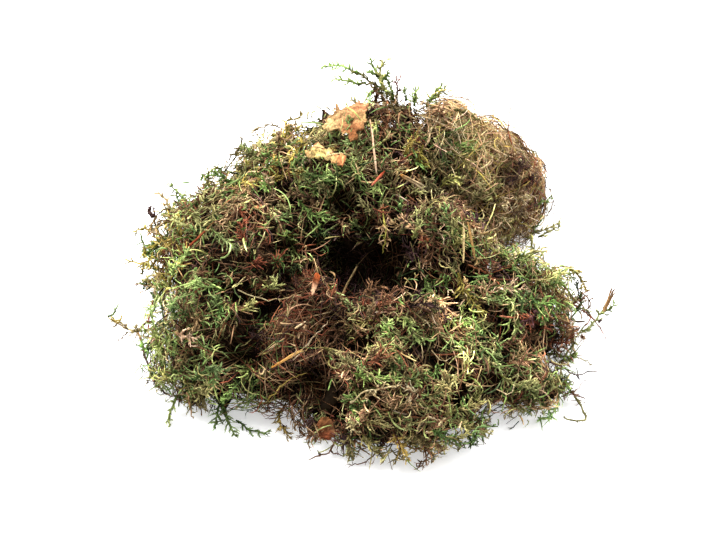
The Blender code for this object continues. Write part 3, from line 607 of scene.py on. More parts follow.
# Tufts: paint, strands, their length and radius, how far they stand off the mats, the place across and
# up the photograph's view, and which way in it they lean, in mm
TUFTS = (
    ("rust", 14, 3.4, 0.32, 1.5, 9, 23.5, 0.2, -0.3),
    ("tan", 12, 3.6, 0.34, 1.5, 9.8, 17.5, 0.4, -0.3),
    ("tan", 12, 3.2, 0.34, 1.5, 11, 12, 0.4, -0.2),
    ("plum", 16, 3.6, 0.26, 0.8, -18.4, -61, -0.8, 0),
    ("brown", 14, 4, 0.28, 0.8, -18, -66, -0.6, -0.6),
    ("tan", 7, 4.2, 0.3, 0.8, -17, -66, -0.7, -0.5),
    ("plum", 30, 4.6, 0.3, 0.8, -6, -67.5, 0.1, -0.8),
    ("brown", 24, 2.6, 0.3, 1, -6.2, -63.6, 0, 0),
    ("tan", 18, 3.6, 0.3, 0.8, 32.8, -70, 0, -0.4),
    ("brown", 12, 2.8, 0.3, 1, -30, -63, 0.2, -0.4),
    ("plum", 26, 4, 0.3, 1.5, 5, 63, 0, 0.5),
    ("brown", 20, 3.6, 0.3, 1.5, 10, 63.5, 0.2, 0.4),
    ("yellow", 6, 4.6, 0.45, 2, -71, 1, 0, 0.3),
    ("tan", 14, 4.2, 0.34, 1.8, -46, 8.5, 0, 0),
    ("rust", 22, 4.6, 0.32, 1.5, -41, 3, 0.6, 0.1),
    ("rust", 22, 4.6, 0.32, 1.5, -33, 4.5, 0.5, 0.3),
    ("tan", 14, 4, 0.34, 1.8, -51, -3.5, -0.3, -0.3),
    ("brown", 16, 4.4, 0.3, 1.5, -62, -2, 0, 0),
    ("rust", 16, 3.4, 0.32, 1.5, -46.5, 24, 0, -0.5),
    ("tan", 10, 3.4, 0.3, 1.5, -35, 21, 0.3, 0.5),
    ("rust", 16, 3.6, 0.32, 1.5, 25.5, 11, 0.6, 0.3),
    ("plum", 20, 4.2, 0.3, 1.5, 55, -1, 0.5, 0),
    ("rust", 16, 4.2, 0.32, 1.8, 50, 3, 0.5, -0.2),
    ("straw", 16, 4, 0.3, 1.5, 60, 18, 0.2, -0.5),
    ("straw", 14, 4, 0.3, 1.5, 64, 23, 0.4, 0.3),
    ("tan", 16, 1.8, 0.3, 1, 89.6, -26.8, 0.3, 0),
    ("rust", 8, 1.2, 0.3, 1.4, 89.6, -26.8, 0, 0),
    ("brown", 16, 3.6, 0.3, 1.5, -8, -24, 0, 0),
    ("brown", 20, 4.4, 0.3, 1.5, 33, 62, 0, 0.2),
    ("plum", 24, 5, 0.26, 4, 65, 42, 0.3, -0.2),
    ("plum", 24, 4.8, 0.26, 4, 69, 37, 0.4, -0.3),
    ("brown", 22, 4.8, 0.26, 4, 61, 45, 0.5, 0.1),
    ("plum", 18, 4.4, 0.26, 3.5, 62, 37, 0.2, 0.2),
    ("straw", 22, 4.6, 0.28, 4.5, 59, 27, 0.1, -0.5),
    ("straw", 22, 4.6, 0.28, 4.5, 65, 29, 0.3, -0.4),
    ("straw", 22, 4.6, 0.28, 4.5, 57, 20, 0.1, -0.4),
    ("tan", 22, 4.6, 0.28, 4.5, 62, 18, 0.1, -0.4),
)
STRAY_SHADE = 0.85
STRAY_SPREAD = 0.1
STRAY_RINGS = 12
STRAY_WAVER = 0.18
STRAY_LEAVES = 2.6
STRAY_LEAST_LEAVES = 6
STRAY_LEAF_LENGTH = 1.9
STRAY_LEAF_WIDTH = 0.85
STRAY_THICK = 1.35
STRAY_LEAFY_SHARE = 0.75
STEM_RINGS = 14
STEM_SIDES = 5
STEM_WAVER = 0.25
ROOTLET_RINGS = 6
SPRIG_RADIUS = 0.42
STEM_ROOTLETS = (2, 3)
TUFT_RINGS = 5
TUFT_TAPER = (1.1, 0.5)

# Flakes by CAD node: slot, lumpiness in mm, plain colour, and blotches: colour, place across and up the
# photograph's view and radius in mm
FLAKES = {
    "bark_flake_large": ("bark", 0.75, (206, 156, 106), (
        ((232, 200, 136), -11.2, 57.2, 4),
        ((212, 166, 116), -6.4, 60.8, 4),
        ((216, 142, 102), 1.2, 64.4, 4),
        ((210, 168, 112), 1.6, 61.2, 3),
        ((164, 98, 60), -2.4, 55.6, 4.5),
        ((134, 88, 50), 0.8, 52, 5),
    )),
    "bark_flake_small": ("bark", 0.85, (226, 176, 118), (
        ((246, 226, 140), -15.6, 46.8, 3.5),
        ((240, 184, 128), -16.4, 50.4, 3),
        ((238, 150, 96), -7.2, 44, 4.5),
        ((244, 214, 140), -12, 44.8, 3),
        ((140, 64, 46), -14.4, 53, 2.2),
    )),
    "dead_leaf": ("dead_leaf", 0.35, (160, 100, 64), (
        ((166, 124, 88), -9.6, -64, 2.6),
        ((148, 80, 52), -12.4, -66.4, 3),
        ((174, 116, 70), -13.6, -58.8, 2.4),
        ((84, 44, 30), -14.4, -65.6, 0.8),
        ((84, 44, 30), -14.4, -67.6, 0.7),
    )),
    "bud_scale": ("dead_leaf", 0.3, (170, 88, 48), (
        ((190, 92, 46), -15.2, -2, 2.4),
        ((226, 186, 148), -17.6, -8.6, 2.8),
    )),
    "red_bark_chip": ("bark", 0.4, (176, 104, 66), (
        ((206, 138, 98), 25, 11.6, 1.4),
    )),
}
FLAKE_VOXEL = 0.55
FLAKE_LUMPS = 0.42
FLAKE_GRAIN = 1.5
FLAKE_DRIFT = 1.4
FLAKE_MOTTLE = 0.22
FLAKE_CRACKS = 0.09
# painted shade: how much darker the flakes are along their cracks and in their dips
CRACK_SHADE = 0.6
DENT_SHADE = 1.2
LITTER_LIGHT = 0.5
LITTER_RISE = 3.6

# Straws and twigs by CAD node, from left to right: slot, root and tip colour, how many strands, how far
# they stand apart and their radius in mm
STRAWS = {
    "split_straw": ("straw", (226, 160, 84), (255, 238, 196), 5, 0.9, 0.56),
    "long_straw_left": ("straw", (232, 200, 138), (236, 208, 150), 2, 0.25, 0.48),
    "long_straw_right": ("straw", (196, 148, 86), (214, 172, 112), 2, 0.25, 0.42),
    "centre_straw": ("straw", (186, 146, 92), (224, 194, 140), 2, 0.35, 0.42),
    "pale_straw": ("straw", (226, 194, 144), (240, 220, 178), 2, 0.35, 0.45),
    "orange_splinter": ("straw", (204, 138, 62), (232, 190, 118), 4, 0.6, 0.42),
    "red_needle": ("twig", (168, 62, 34), (206, 124, 82), 2, 0.25, 0.42),
    "brown_twig": ("twig", (196, 158, 122), (214, 180, 150), 2, 0.25, 0.36),
    "red_splinter": ("twig", (214, 128, 98), (188, 76, 44), 3, 0.35, 0.42),
    "pink_stem": ("twig", (204, 134, 102), (190, 110, 78), 2, 0.3, 0.4),
    "seed_husk": ("straw", (232, 180, 120), (78, 42, 26), 6, 1.7, 0.34),
}
STRAW_RINGS = 9
STRAW_SIDES = 5
STRAW_WAVER = 0.08


def unit(vectors):
    """The vectors at length 1."""
    return vectors / np.maximum(np.linalg.norm(vectors, axis=-1, keepdims=True), 1e-12)


def flatten(vectors, normals):
    """The vectors' parts in the planes of the normals."""
    return vectors - (vectors * normals).sum(-1, keepdims=True) * normals


def linear(srgb):
    """Scene-linear colour of sRGB out of 255."""
    share = np.asarray(srgb, float) / 255
    return np.where(share <= 0.04045, share / 12.92, ((share + 0.055) / 1.055) ** 2.4)


DEEP_SHADE_TINT = linear(DEEP_SHADE_SRGB)
PAINT_NAMES = list(PAINTS)
ROOT_PAINT, TIP_PAINT = (np.array([linear(pair[end]) for pair in PAINTS.values()]) for end in (0, 1))
PALETTE_NAMES = list(PALETTES)
PALETTE_SHARES = np.array([[shares.get(paint, 0) for paint in PAINTS] for shares in PALETTES.values()], float)
PALETTE_SHARES /= PALETTE_SHARES.sum(1, keepdims=True)


def pick(shares, rng):
    """One column index for each row of shares."""
    edges = np.cumsum(shares, axis=1)
    return (rng.random((len(shares), 1)) * edges[:, -1:] > edges).sum(1)


def paints_at(places, home, rng):
    """A paint index for each place, from the zones round it and the mat's own palette."""
    spots = np.array([zone[1:] for zone in ZONES], float)
    gaps = np.linalg.norm(places[:, None] - spots[None, :, :3], axis=2) / spots[:, 3]
    shares = np.concatenate([np.exp(-gaps ** 2), np.full((len(places), 1), HOME_SHARE)], axis=1)
    palettes = np.array([PALETTE_NAMES.index(name) for name in [zone[0] for zone in ZONES] + [home]])
    return pick(PALETTE_SHARES[palettes[pick(shares, rng)]], rng)


def tinted(paints, rng, spread=0.25):
    """Root and tip colours of strands with these paints, each lighter or darker by chance."""
    light = np.exp(rng.normal(0, spread, (len(paints), 1)))
    warm = 1 + rng.normal(0, 0.06, (len(paints), 3))
    return ROOT_PAINT[paints] * light * warm, TIP_PAINT[paints] * light * warm


def ramp(root, tip, share):
    """Colours from root to tip (N x 3 each) at the shares along (K or N x K)."""
    share = np.broadcast_to(share, (len(root), np.shape(share)[-1]))[..., None]
    return root[:, None] * (1 - share) + tip[:, None] * share


def patches(points):
    """Light and dark patches through the clump: a smooth random value at each point, about 1 in spread."""
    rng = np.random.default_rng(SEED + 2)
    waves = unit(rng.normal(size=(PATCH_WAVES, 3))) * TURN / rng.uniform(*PATCH_SIZES, (PATCH_WAVES, 1))
    phases = rng.uniform(0, TURN, PATCH_WAVES)
    total = sum(np.cos(points @ wave + phase) for wave, phase in zip(waves, phases))
    return total * math.sqrt(2 / PATCH_WAVES)


def bareness(places, holes):
    """How bare each place is: most in the middle of a hole, 0 outside them all."""
    bare = np.zeros(len(places))
    for *centre, radius, most in holes:
        away = np.linalg.norm(places - np.array(centre, float), axis=1) / radius
        bare = np.maximum(bare, np.clip(HOLE_EDGE - HOLE_SLOPE * away, 0, most))
    return bare


def new_object(name, data):
    """A new object in the scene."""
    thing = bpy.data.objects.new(name, data)
    bpy.context.scene.collection.objects.link(thing)
    return thing


class Growth:
    """Gathers the closed tubes and leaves of one piece, in mm."""

    def __init__(self, name):
        self.name = name
        self.points, self.faces, self.tints, self.cells, self.spots = [], [], [], [], []
        self.size = self.strands = 0

    def add(self, points, pattern, tints, cells, spots):
        """Adds N copies of a small shape. points and tints are N x V x 3, pattern is F x 3."""
        count, corners = points.shape[:2]
        starts = self.size + corners * np.arange(count)
        self.points.append(points.reshape(-1, 3))
        self.tints.append(np.broadcast_to(tints, points.shape).reshape(-1, 3))
        self.faces.append((starts[:, None, None] + pattern).reshape(-1, 3))
        self.cells.append(np.repeat(cells, corners))
        self.spots.append(np.broadcast_to(spots, (count, corners, 2)).reshape(-1, 2))
        self.size += count * corners

    def new_cells(self, count):
        """Numbers for the UV cells of new strands."""
        self.strands += count
        return np.arange(self.strands - count, self.strands)

    def sink(self, holes, way):
        """Moves what grows over holes that way into them; the felt, which comes first, lies deep already."""
        points = np.concatenate(self.points[1:])
        points += (bareness(points, holes) * HOLLOW_DEPTH)[:, None] * unit(np.array(way, float))
        points[:, 2] = np.maximum(points[:, 2], LEAF_LOWEST)
        self.points = [self.points[0], points]

    def shade(self, blanket):
        """Paints shade on what lies deep in the clump, darker and browner with depth: partly painted shade,
        partly the brown of dead shoot ends. Also paints random light and dark patches, and painted shade over
        the hollows.
        """
        points = np.concatenate(self.points)
        tints = np.concatenate(self.tints)
        deep = np.clip((blanket.depth(points) - SHADE_START) / SHADE_REACH, 0, 1)[:, None]
        # painted shade: the deeper a point lies, the more its colour turns to the dark deep tint, which also
        # holds the brown of dead stems
        tints = tints * (1 - deep) + DEEP_SHADE_TINT * (DEEP_LIGHT + tints / tints.mean()) * deep
        # painted shade over the hollows, times the random light and dark patches
        light = np.exp(PATCH_CONTRAST * patches(points)) * (1 - HOLLOW_SHADE * bareness(points, HOLLOWS))
        self.tints = [tints * light[:, None]]

    def build(self, slot, node=None):
        """Makes the piece, on the root body and in its slot, in place of a CAD node if one is given."""
        points = np.concatenate(self.points) * MM
        faces = np.concatenate(self.faces)
        mesh = bpy.data.meshes.new(self.name)
        mesh.vertices.add(len(points))
        mesh.vertices.foreach_set("co", points.astype(np.float32).ravel())
        mesh.loops.add(faces.size)
        mesh.loops.foreach_set("vertex_index", faces.astype(np.int32).ravel())
        mesh.polygons.add(len(faces))
        mesh.polygons.foreach_set("loop_start", np.arange(0, faces.size, 3, dtype=np.int32))
        mesh.polygons.foreach_set("use_smooth", np.ones(len(faces), bool))
        colours = np.ones((len(points), 4), np.float32)
        colours[:, :3] = np.concatenate(self.tints)
        tint = mesh.attributes.new("Tint", "FLOAT_COLOR", "POINT")
        tint.data.foreach_set("color", colours.ravel())
        across = math.ceil(math.sqrt(self.strands))
        cells = np.concatenate(self.cells)
        corner = np.stack([cells % across, cells // across], axis=1)
        places = (corner + CELL_EDGE + (1 - 2 * CELL_EDGE) * np.concatenate(self.spots)) / across
        uv = mesh.uv_layers.new(name="OFBake")
        uv.data.foreach_set("uv", places[faces.ravel()].astype(np.float32).ravel())
        mesh.materials.append(MATERIALS[slot])
        mesh.validate()
        mesh.update()
        piece = new_object(self.name, mesh)
        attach(piece, "root")
        if node:
            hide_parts(node)


def tube_pattern(rings, sides):
    """Triangles of a tube of that many rings, the last one a single tip point."""
    faces = [(0, side + 1, side) for side in range(1, sides - 1)]
    for start in range(0, (rings - 2) * sides, sides):
        for side in range(sides):
            a, b = start + side, start + (side + 1) % sides
            faces += [(a, b, b + sides), (a, b + sides, a + sides)]
    last = (rings - 2) * sides
    return np.array(faces + [(last + side, last + (side + 1) % sides, last + sides) for side in range(sides)])


def tube_spots(rings, sides):
    """Where a tube's points lie in its UV cell."""
    spots = []
    for ring in range(rings - 1):
        leans = [CAP_STEP if side % 2 else 0 for side in range(sides)]
        spots += [(side / (sides - 1), ring / (rings - 1) + lean) for side, lean in enumerate(leans)]
    return np.array(spots + [(0.5, 1)])


def add_tubes(growth, paths, radii, tints, rng, sides=3, twist=0.5):
    """Closed tapered tubes along paths (N x K x 3), radii and tints at each ring. Gives their UV cells."""
    count, rings = paths.shape[:2]
    tangents = unit(np.gradient(paths, axis=1))
    normal = unit(np.cross(tangents[:, 0], rng.normal(size=(count, 3))))
    turns = rng.uniform(0, TURN, count)
    blocks = []
    for ring in range(rings - 1):
        along = tangents[:, ring]
        normal = unit(flatten(normal, along))
        aside = np.cross(along, normal)
        for side in range(sides):
            angle = (turns + TURN * side / sides + twist * ring)[:, None]
            out = np.cos(angle) * normal + np.sin(angle) * aside
            blocks.append(paths[:, ring] + radii[:, ring, None] * out)
    points = np.stack(blocks + [paths[:, -1]], axis=1)
    shades = np.concatenate([np.repeat(tints[:, :-1], sides, axis=1), tints[:, -1:]], axis=1)
    cells = growth.new_cells(count)
    growth.add(points, tube_pattern(rings, sides), shades, cells, tube_spots(rings, sides))
    return cells


def add_leaves(growth, roots, directions, outwards, lengths, widths, tints, cells, places):
    """Small closed leaves, each a blade with a keel. places is how far along its strand each one sits."""
    across = unit(np.cross(outwards, directions)) * widths[:, None] / 2
    keel = roots - outwards * widths[:, None] * LEAF_KEEL
    points = np.stack([roots - across, roots + across, keel, roots + directions * lengths[:, None]], axis=1)
    points[..., 2] = np.maximum(points[..., 2], LEAF_LOWEST)
    low, high = places * 0.9, places * 0.9 + 0.1
    corners = ((0, low), (1, low), (0.5, (low + high) / 2), (0.5, high))
    spots = np.stack([np.stack([np.full_like(low, u), v], axis=1) for u, v in corners], axis=1)
    growth.add(points, LEAF_FACES, tints, cells, spots)


def along_paths(paths, share):
    """Points and directions on each path at the shares given (N x M), from 0 at its start to 1 at its end."""
    rings = paths.shape[1]
    spot = np.clip(share, 0, 1) * (rings - 1)
    low = np.minimum(spot.astype(int), rings - 2)
    rows = np.arange(len(paths))[:, None]
    first, second = paths[rows, low], paths[rows, low + 1]
    return first + (second - first) * (spot - low)[..., None], unit(second - first)


def add_leafy(growth, paths, radius, tints, leaves, lengths, widths, rng):
    """Thin stems with small pointed leaves in a spiral round them, of one size for all or one for each."""
    count, rings = paths.shape[:2]
    radii = np.reshape(radius, (-1, 1)) * np.linspace(1, LEAFY_TAPER, rings)
    cells = add_tubes(growth, paths, radii, tints, rng)
    share = (np.arange(leaves) + 0.6) / leaves
    share = share + rng.uniform(-0.3, 0.3, (count, leaves)) / leaves
    roots, along = along_paths(paths, share)
    reference = unit(np.cross(along, rng.normal(size=(count, 1, 3))))
    aside = np.cross(along, reference)
    angle = (rng.uniform(0, TURN, (count, 1)) + LEAF_TURN * np.arange(leaves))[..., None]
    out = np.cos(angle) * reference + np.sin(angle) * aside
    spread = rng.uniform(*LEAF_SPREAD, (count, leaves, 1)) * (1.15 - share[..., None])
    direction = unit(along + spread * out)
    size = rng.uniform(*LEAF_SIZES, (count, leaves)) * (1.1 - 0.45 * share)
    outward = unit(flatten(out, direction))
    rows = np.arange(count)[:, None]
    tip = tints[rows, np.minimum((share * (rings - 1)).astype(int) + 1, rings - 1)]
    tip = tip * rng.uniform(*LEAF_LIGHT, (count, leaves, 1))
    root = tip * 0.7
    shades = np.stack([root, root, root * 0.8, tip], axis=2).reshape(-1, 4, 3)
    roots, direction, outward = (block.reshape(-1, 3) for block in (roots, direction, outward))
    lengths, widths = ((np.reshape(each, (-1, 1)) * size).ravel() for each in (lengths, widths))
    cells = np.repeat(cells, leaves)
    add_leaves(growth, roots, direction, outward, lengths, widths, shades, cells, share.ravel())


def mats_mesh(names):
    """The points in metres and the faces of the CAD solids named."""
    points, faces = [], []
    for name in names:
        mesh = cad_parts[name].data
        faces += [[len(points) + index for index in face.vertices] for face in mesh.polygons]
        points += [tuple(vertex.co) for vertex in mesh.vertices]
    return points, faces


def modify(thing, kind, **settings):
    """Adds a modifier with its settings."""
    modifier = thing.modifiers.new(kind, kind)
    for name, value in settings.items():
        setattr(modifier, name, value)


def remeshed(points, faces, closing, voxel, smooth_steps):
    """Points in mm and triangles of the solids given, closed over, remeshed and smoothed."""
    mesh = bpy.data.meshes.new("helper")
    mesh.from_pydata([tuple(point) for point in points], [], faces)
    helper = new_object("helper", mesh)
    if closing:
        modify(helper, "WELD", merge_threshold=0.00001)
        modify(helper, "DISPLACE", strength=closing * MM, mid_level=0)
    modify(helper, "REMESH", mode="VOXEL", voxel_size=voxel * MM)
    if closing:
        modify(helper, "DISPLACE", strength=-closing * MM, mid_level=0)
    modify(helper, "SMOOTH", factor=0.5, iterations=smooth_steps)
    modify(helper, "TRIANGULATE")
    result = helper.evaluated_get(bpy.context.evaluated_depsgraph_get())
    mesh = result.to_mesh()
    points = np.empty(len(mesh.vertices) * 3)
    mesh.vertices.foreach_get("co", points)
    faces = np.empty(len(mesh.polygons) * 3, np.int32)
    mesh.polygons.foreach_get("vertices", faces)
    result.to_mesh_clear()
    bpy.data.objects.remove(helper)
    return points.reshape(-1, 3) / MM, faces.reshape(-1, 3)


class Skin:
    """A smooth surface round solids given by points in metres and faces; itself in mm."""

    def __init__(self, points, faces, closing, voxel, smooth_steps):
        self.points, self.faces = remeshed(points, faces, closing, voxel, smooth_steps)
        self.tree = BVHTree.FromPolygons(self.points.tolist(), self.faces.tolist())
        corners = self.points[self.faces]
        cross = np.cross(corners[:, 1] - corners[:, 0], corners[:, 2] - corners[:, 0])
        self.areas = np.linalg.norm(cross, axis=1) / 2
        self.face_normals = unit(cross)
        self.normals = np.zeros_like(self.points)
        for corner in range(3):
            np.add.at(self.normals, self.faces[:, corner], cross)
        self.normals = unit(self.normals)
        self.centres = corners.mean(1)

    def nearest(self, places):
        """The nearest points of the skin, and its normals there."""
        found = [self.tree.find_nearest(place)[:2] for place in places.tolist()]
        return tuple(np.array([hit[part] for hit in found]).reshape(-1, 3) for part in (0, 1))

    def depth(self, places):
        """How far the places lie below the skin; above it is negative."""
        near, normals = self.nearest(places)
        return ((near - places) * normals).sum(1)


class Blanket(Skin):
    """The surface over the whole clump, shared out between the mats, with its holes."""

    def __init__(self, names):
        super().__init__(*mats_mesh(names), CLOSING, BLANKET_VOXEL, BLANKET_SMOOTH)
        self.owner = nearest_mat(names, self.centres)
        under = (self.face_normals[:, 2] < -0.5) & (self.centres[:, 2] < UNDERSIDE_HEIGHT)
        open_share = np.clip(0.25 + measure_openness(self) * 1.4, 0, 1)
        self.weights = self.areas * open_share * np.where(under, UNDERSIDE_SHARE, 1)
        self.holes = [*HOLLOWS, *FRINGES, *self.small_gaps()]

    def small_gaps(self):
        """Small gaps all over the clump where little moss grows."""
        rng = np.random.default_rng(SEED + 1)
        count = int(GAPS * self.weights.sum() / 100)
        picks = rng.choice(len(self.faces), size=count, p=self.weights / self.weights.sum())
        radii = rng.uniform(*GAP_RADII, count)
        return [(*centre, radius, GAP_SHARE) for centre, radius in zip(self.centres[picks], radii)]

    def scatter(self, owner, density, rng, gaps=True):
        """Random places on one mat, with their normals: about density for each open square centimetre."""
        weights = self.weights * (self.owner == owner)
        count = int(density * weights.sum() / 100)
        picks = rng.choice(len(self.faces), size=count, p=weights / weights.sum())
        mix = rng.dirichlet((1, 1, 1), count)[..., None]
        corners = self.faces[picks]
        places = (self.points[corners] * mix).sum(1)
        normals = unit((self.normals[corners] * mix).sum(1))
        if gaps:
            keep = rng.random(count) > bareness(places, self.holes)
            places, normals = places[keep], normals[keep]
        return places, normals


def nearest_mat(names, places):
    """The index of the mat whose solid is nearest to each place."""
    owned = [(index, point) for index, name in enumerate(names) for point in mats_mesh([name])[0]]
    tree = KDTree(len(owned))
    for number, (_, point) in enumerate(owned):
        tree.insert(Vector(point) / MM, number)
    tree.balance()
    return np.array([owned[tree.find(place)[1]][0] for place in places.tolist()])


def measure_openness(skin):
    """For each face, the share of directions in which it sees past the clump."""
    rng = np.random.default_rng(SEED)
    shares = np.zeros(len(skin.faces))
    for index, (centre, normal) in enumerate(zip(skin.centres, skin.face_normals)):
        rays = unit(rng.normal(size=(SIGHT_RAYS, 3)) + SIGHT_LEAN * normal)
        rays = rays[(rays @ normal > 0.1) & (rays[:, 2] > SIGHT_LOWEST)]
        start = (centre + normal * 0.3).tolist()
        clear = [skin.tree.ray_cast(start, ray, SIGHT_REACH)[0] is None for ray in rays.tolist()]
        shares[index] = sum(clear) / SIGHT_RAYS
    for _ in range(SIGHT_BLUR):
        sums, counts = np.zeros((2, len(skin.points)))
        for corner in range(3):
            np.add.at(sums, skin.faces[:, corner], shares)
            np.add.at(counts, skin.faces[:, corner], 1)
        shares = (sums / np.maximum(counts, 1))[skin.faces].mean(1)
    return shares


def add_felt(growth, points, faces, rng):
    """Crumbly felt of the shape given, near black: partly the dark dead matter in the clump, partly painted
    shade.
    """
    points = points + FELT_ROUGHNESS * rng.normal(size=points.shape)
    points[:, 2] = np.maximum(points[:, 2], FELT_LOWEST)
    # painted shade in part: the felt's near-black tint, with random tone
    tint = linear(FELT_AND_SHADE_TINT) * np.exp(rng.normal(0, FELT_CONTRAST, (len(points), 1)))
    spots = (points[:, :2] - points[:, :2].min(0)) / np.ptp(points, axis=0).max()
    growth.add(points[None], faces, tint[None], growth.new_cells(1), spots[None])


def add_bed(growth, name, blanket, share, rng):
    """The felt under the moss, near black with painted shade: the mat's solid drawn inwards until it lies
    well under the blanket.
    """
    skin = Skin(*mats_mesh([name]), 0, BED_VOXEL, BED_SMOOTH)
    sunk = bareness(skin.points, [*blanket.holes, *DENTS]) * HOLLOW_DEPTH
    depths = np.maximum(BED_DEPTH + sunk - blanket.depth(skin.points), 0.5)
    thick = np.full(len(skin.points), 0.5)
    for index, (point, normal) in enumerate(zip(skin.points, skin.normals)):
        hit = skin.tree.ray_cast((point - normal * 0.2).tolist(), (-normal).tolist())
        if hit[0] is not None:
            thick[index] = hit[3]
    points = skin.points - skin.normals * np.minimum(depths, share * thick)[:, None]
    points[:, 2] = np.minimum(points[:, 2], skin.points[:, 2] + 0.5)
    add_felt(growth, points, skin.faces, rng)


def core_heights(blanket):
    """Heights of a felt that lies well inside the clump, on a grid of cells, and the grid's first corner."""
    low, high = blanket.points.min(0), blanket.points.max(0)
    columns, rows = (np.arange(low[axis], high[axis], CORE_CELL) for axis in (0, 1))
    tops = np.zeros((len(columns), len(rows)))
    for column, row in np.ndindex(tops.shape):
        hit = blanket.tree.ray_cast((columns[column], rows[row], high[2] + 1), (0, 0, -1))[0]
        tops[column, row] = hit[2] if hit is not None else 0
    reach = int(CORE_INSET / CORE_CELL)
    padded = np.pad(tops, reach)
    shifts = np.ndindex(2 * reach + 1, 2 * reach + 1)
    windows = [padded[i:i + tops.shape[0], j:j + tops.shape[1]] for i, j in shifts]
    return np.min(windows, axis=0) - CORE_DEPTH, low


def add_core(blanket):
    """One felt through the whole clump, which closes the cracks between its mats; its near-black colour is
    partly painted shade.
    """
    heights, low = core_heights(blanket)
    points, faces = [], []
    half = CORE_CELL * CORE_HALF
    for column, row in np.argwhere(heights > CORE_LEAST):
        x, y = low[0] + column * CORE_CELL, low[1] + row * CORE_CELL
        faces += [[len(points) + corner for corner in face] for face in BLOCK_FACES]
        for z in (CORE_BASE, heights[column, row]):
            points += [(x + i * half, y + j * half, z) for i, j in BLOCK_CORNERS]
    growth = Growth("felt_core")
    felt = remeshed(np.array(points) * MM, faces, 0, CORE_VOXEL, BED_SMOOTH)
    add_felt(growth, *felt, np.random.default_rng([SEED, 600]))
    growth.build("dead_stems")


def creep(skin, places, headings, heights, steps, turns):
    """Paths that creep over a skin at the heights (N x K) off it, by these steps and bends at each point."""
    count, rings = heights.shape
    paths, uprights = np.empty((2, count, rings, 3))
    for ring in range(rings):
        near, normal = skin.nearest(places)
        headings = unit(flatten(headings, normal))
        paths[:, ring] = near + normal * heights[:, ring, None]
        uprights[:, ring] = normal
        aside = np.cross(normal, headings)
        angle = (turns * (1 + 0.6 * math.sin(1.7 * ring)))[:, None]
        headings = np.cos(angle) * headings + np.sin(angle) * aside
        places = near + headings * steps[:, None]
    low = LOWEST + 0.6 * np.abs(np.sin(np.arange(rings) + np.arange(count)[:, None]))
    paths[..., 2] = np.maximum(paths[..., 2], low)
    return paths, uprights


def arcs(starts, headings, bends, lengths, turns, rings):
    """Paths of even curve above the floor: they leave along the headings and turn towards the bends."""
    bends = unit(flatten(bends, headings))
    angle = turns[:, None] * np.linspace(0, 1, rings)
    curve = np.maximum(np.abs(turns), 1e-3)[:, None] * np.sign(turns + 1e-9)[:, None]
    ahead, aside = (np.sin(angle) / curve)[..., None], ((1 - np.cos(angle)) / curve)[..., None]
    reach = lengths[:, None, None]
    paths = starts[:, None] + reach * (ahead * headings[:, None] + aside * bends[:, None])
    paths[..., 2] = np.maximum(paths[..., 2], LOWEST)
    return paths


def start_headings(normals, flow, rng, spread=1.0):
    """Directions along the surface: at random, leaning towards the flow."""
    return unit(flatten(rng.normal(size=normals.shape) * spread + np.array(flow), normals))


def lifts(places, rng):
    """How far strands stand off the blanket: most lie low, a few well out of it, but not near the floor."""
    most = LIFT_TOP * np.clip(places[:, 2:] / LIFT_FULL, 0, 1)
    return np.minimum(LIFT_LOW + rng.exponential(LIFT_SPREAD, (len(places), 1)), most)


def add_fronds(growth, blanket, owner, mat, rng):
    """Feathery shoots that creep over the mat: a stem with branchlets on both sides."""
    places, normals = blanket.scatter(owner, mat.fronds, rng)
    count = len(places)
    length = rng.uniform(*FROND_LENGTHS, count)
    share = np.linspace(0, 1, FROND_RINGS)
    heights = np.interp(share, *FROND_RISE) + lifts(places, rng)
    heights = heights + rng.uniform(-0.6, 1.0, (count, 1)) * 3.5 * share ** 2
    heights = heights + rng.normal(0, 0.3, (count, FROND_RINGS))
    headings = start_headings(normals, mat.flow, rng)
    turns = rng.normal(0, FROND_TURN, count)
    paths, uprights = creep(blanket, places, headings, heights, length / (FROND_RINGS - 1), turns)
    roots, tips = tinted(paints_at(places, mat.home, rng), rng, 0.2)
    radii = np.linspace(*FROND_RADII, FROND_RINGS) * rng.uniform(0.8, 1.2, (count, 1))
    add_tubes(growth, paths, radii, ramp(roots * 0.7, tips * 0.8, share ** 1.5), rng)
    add_branchlets(growth, paths, uprights, roots, tips, length, rng)


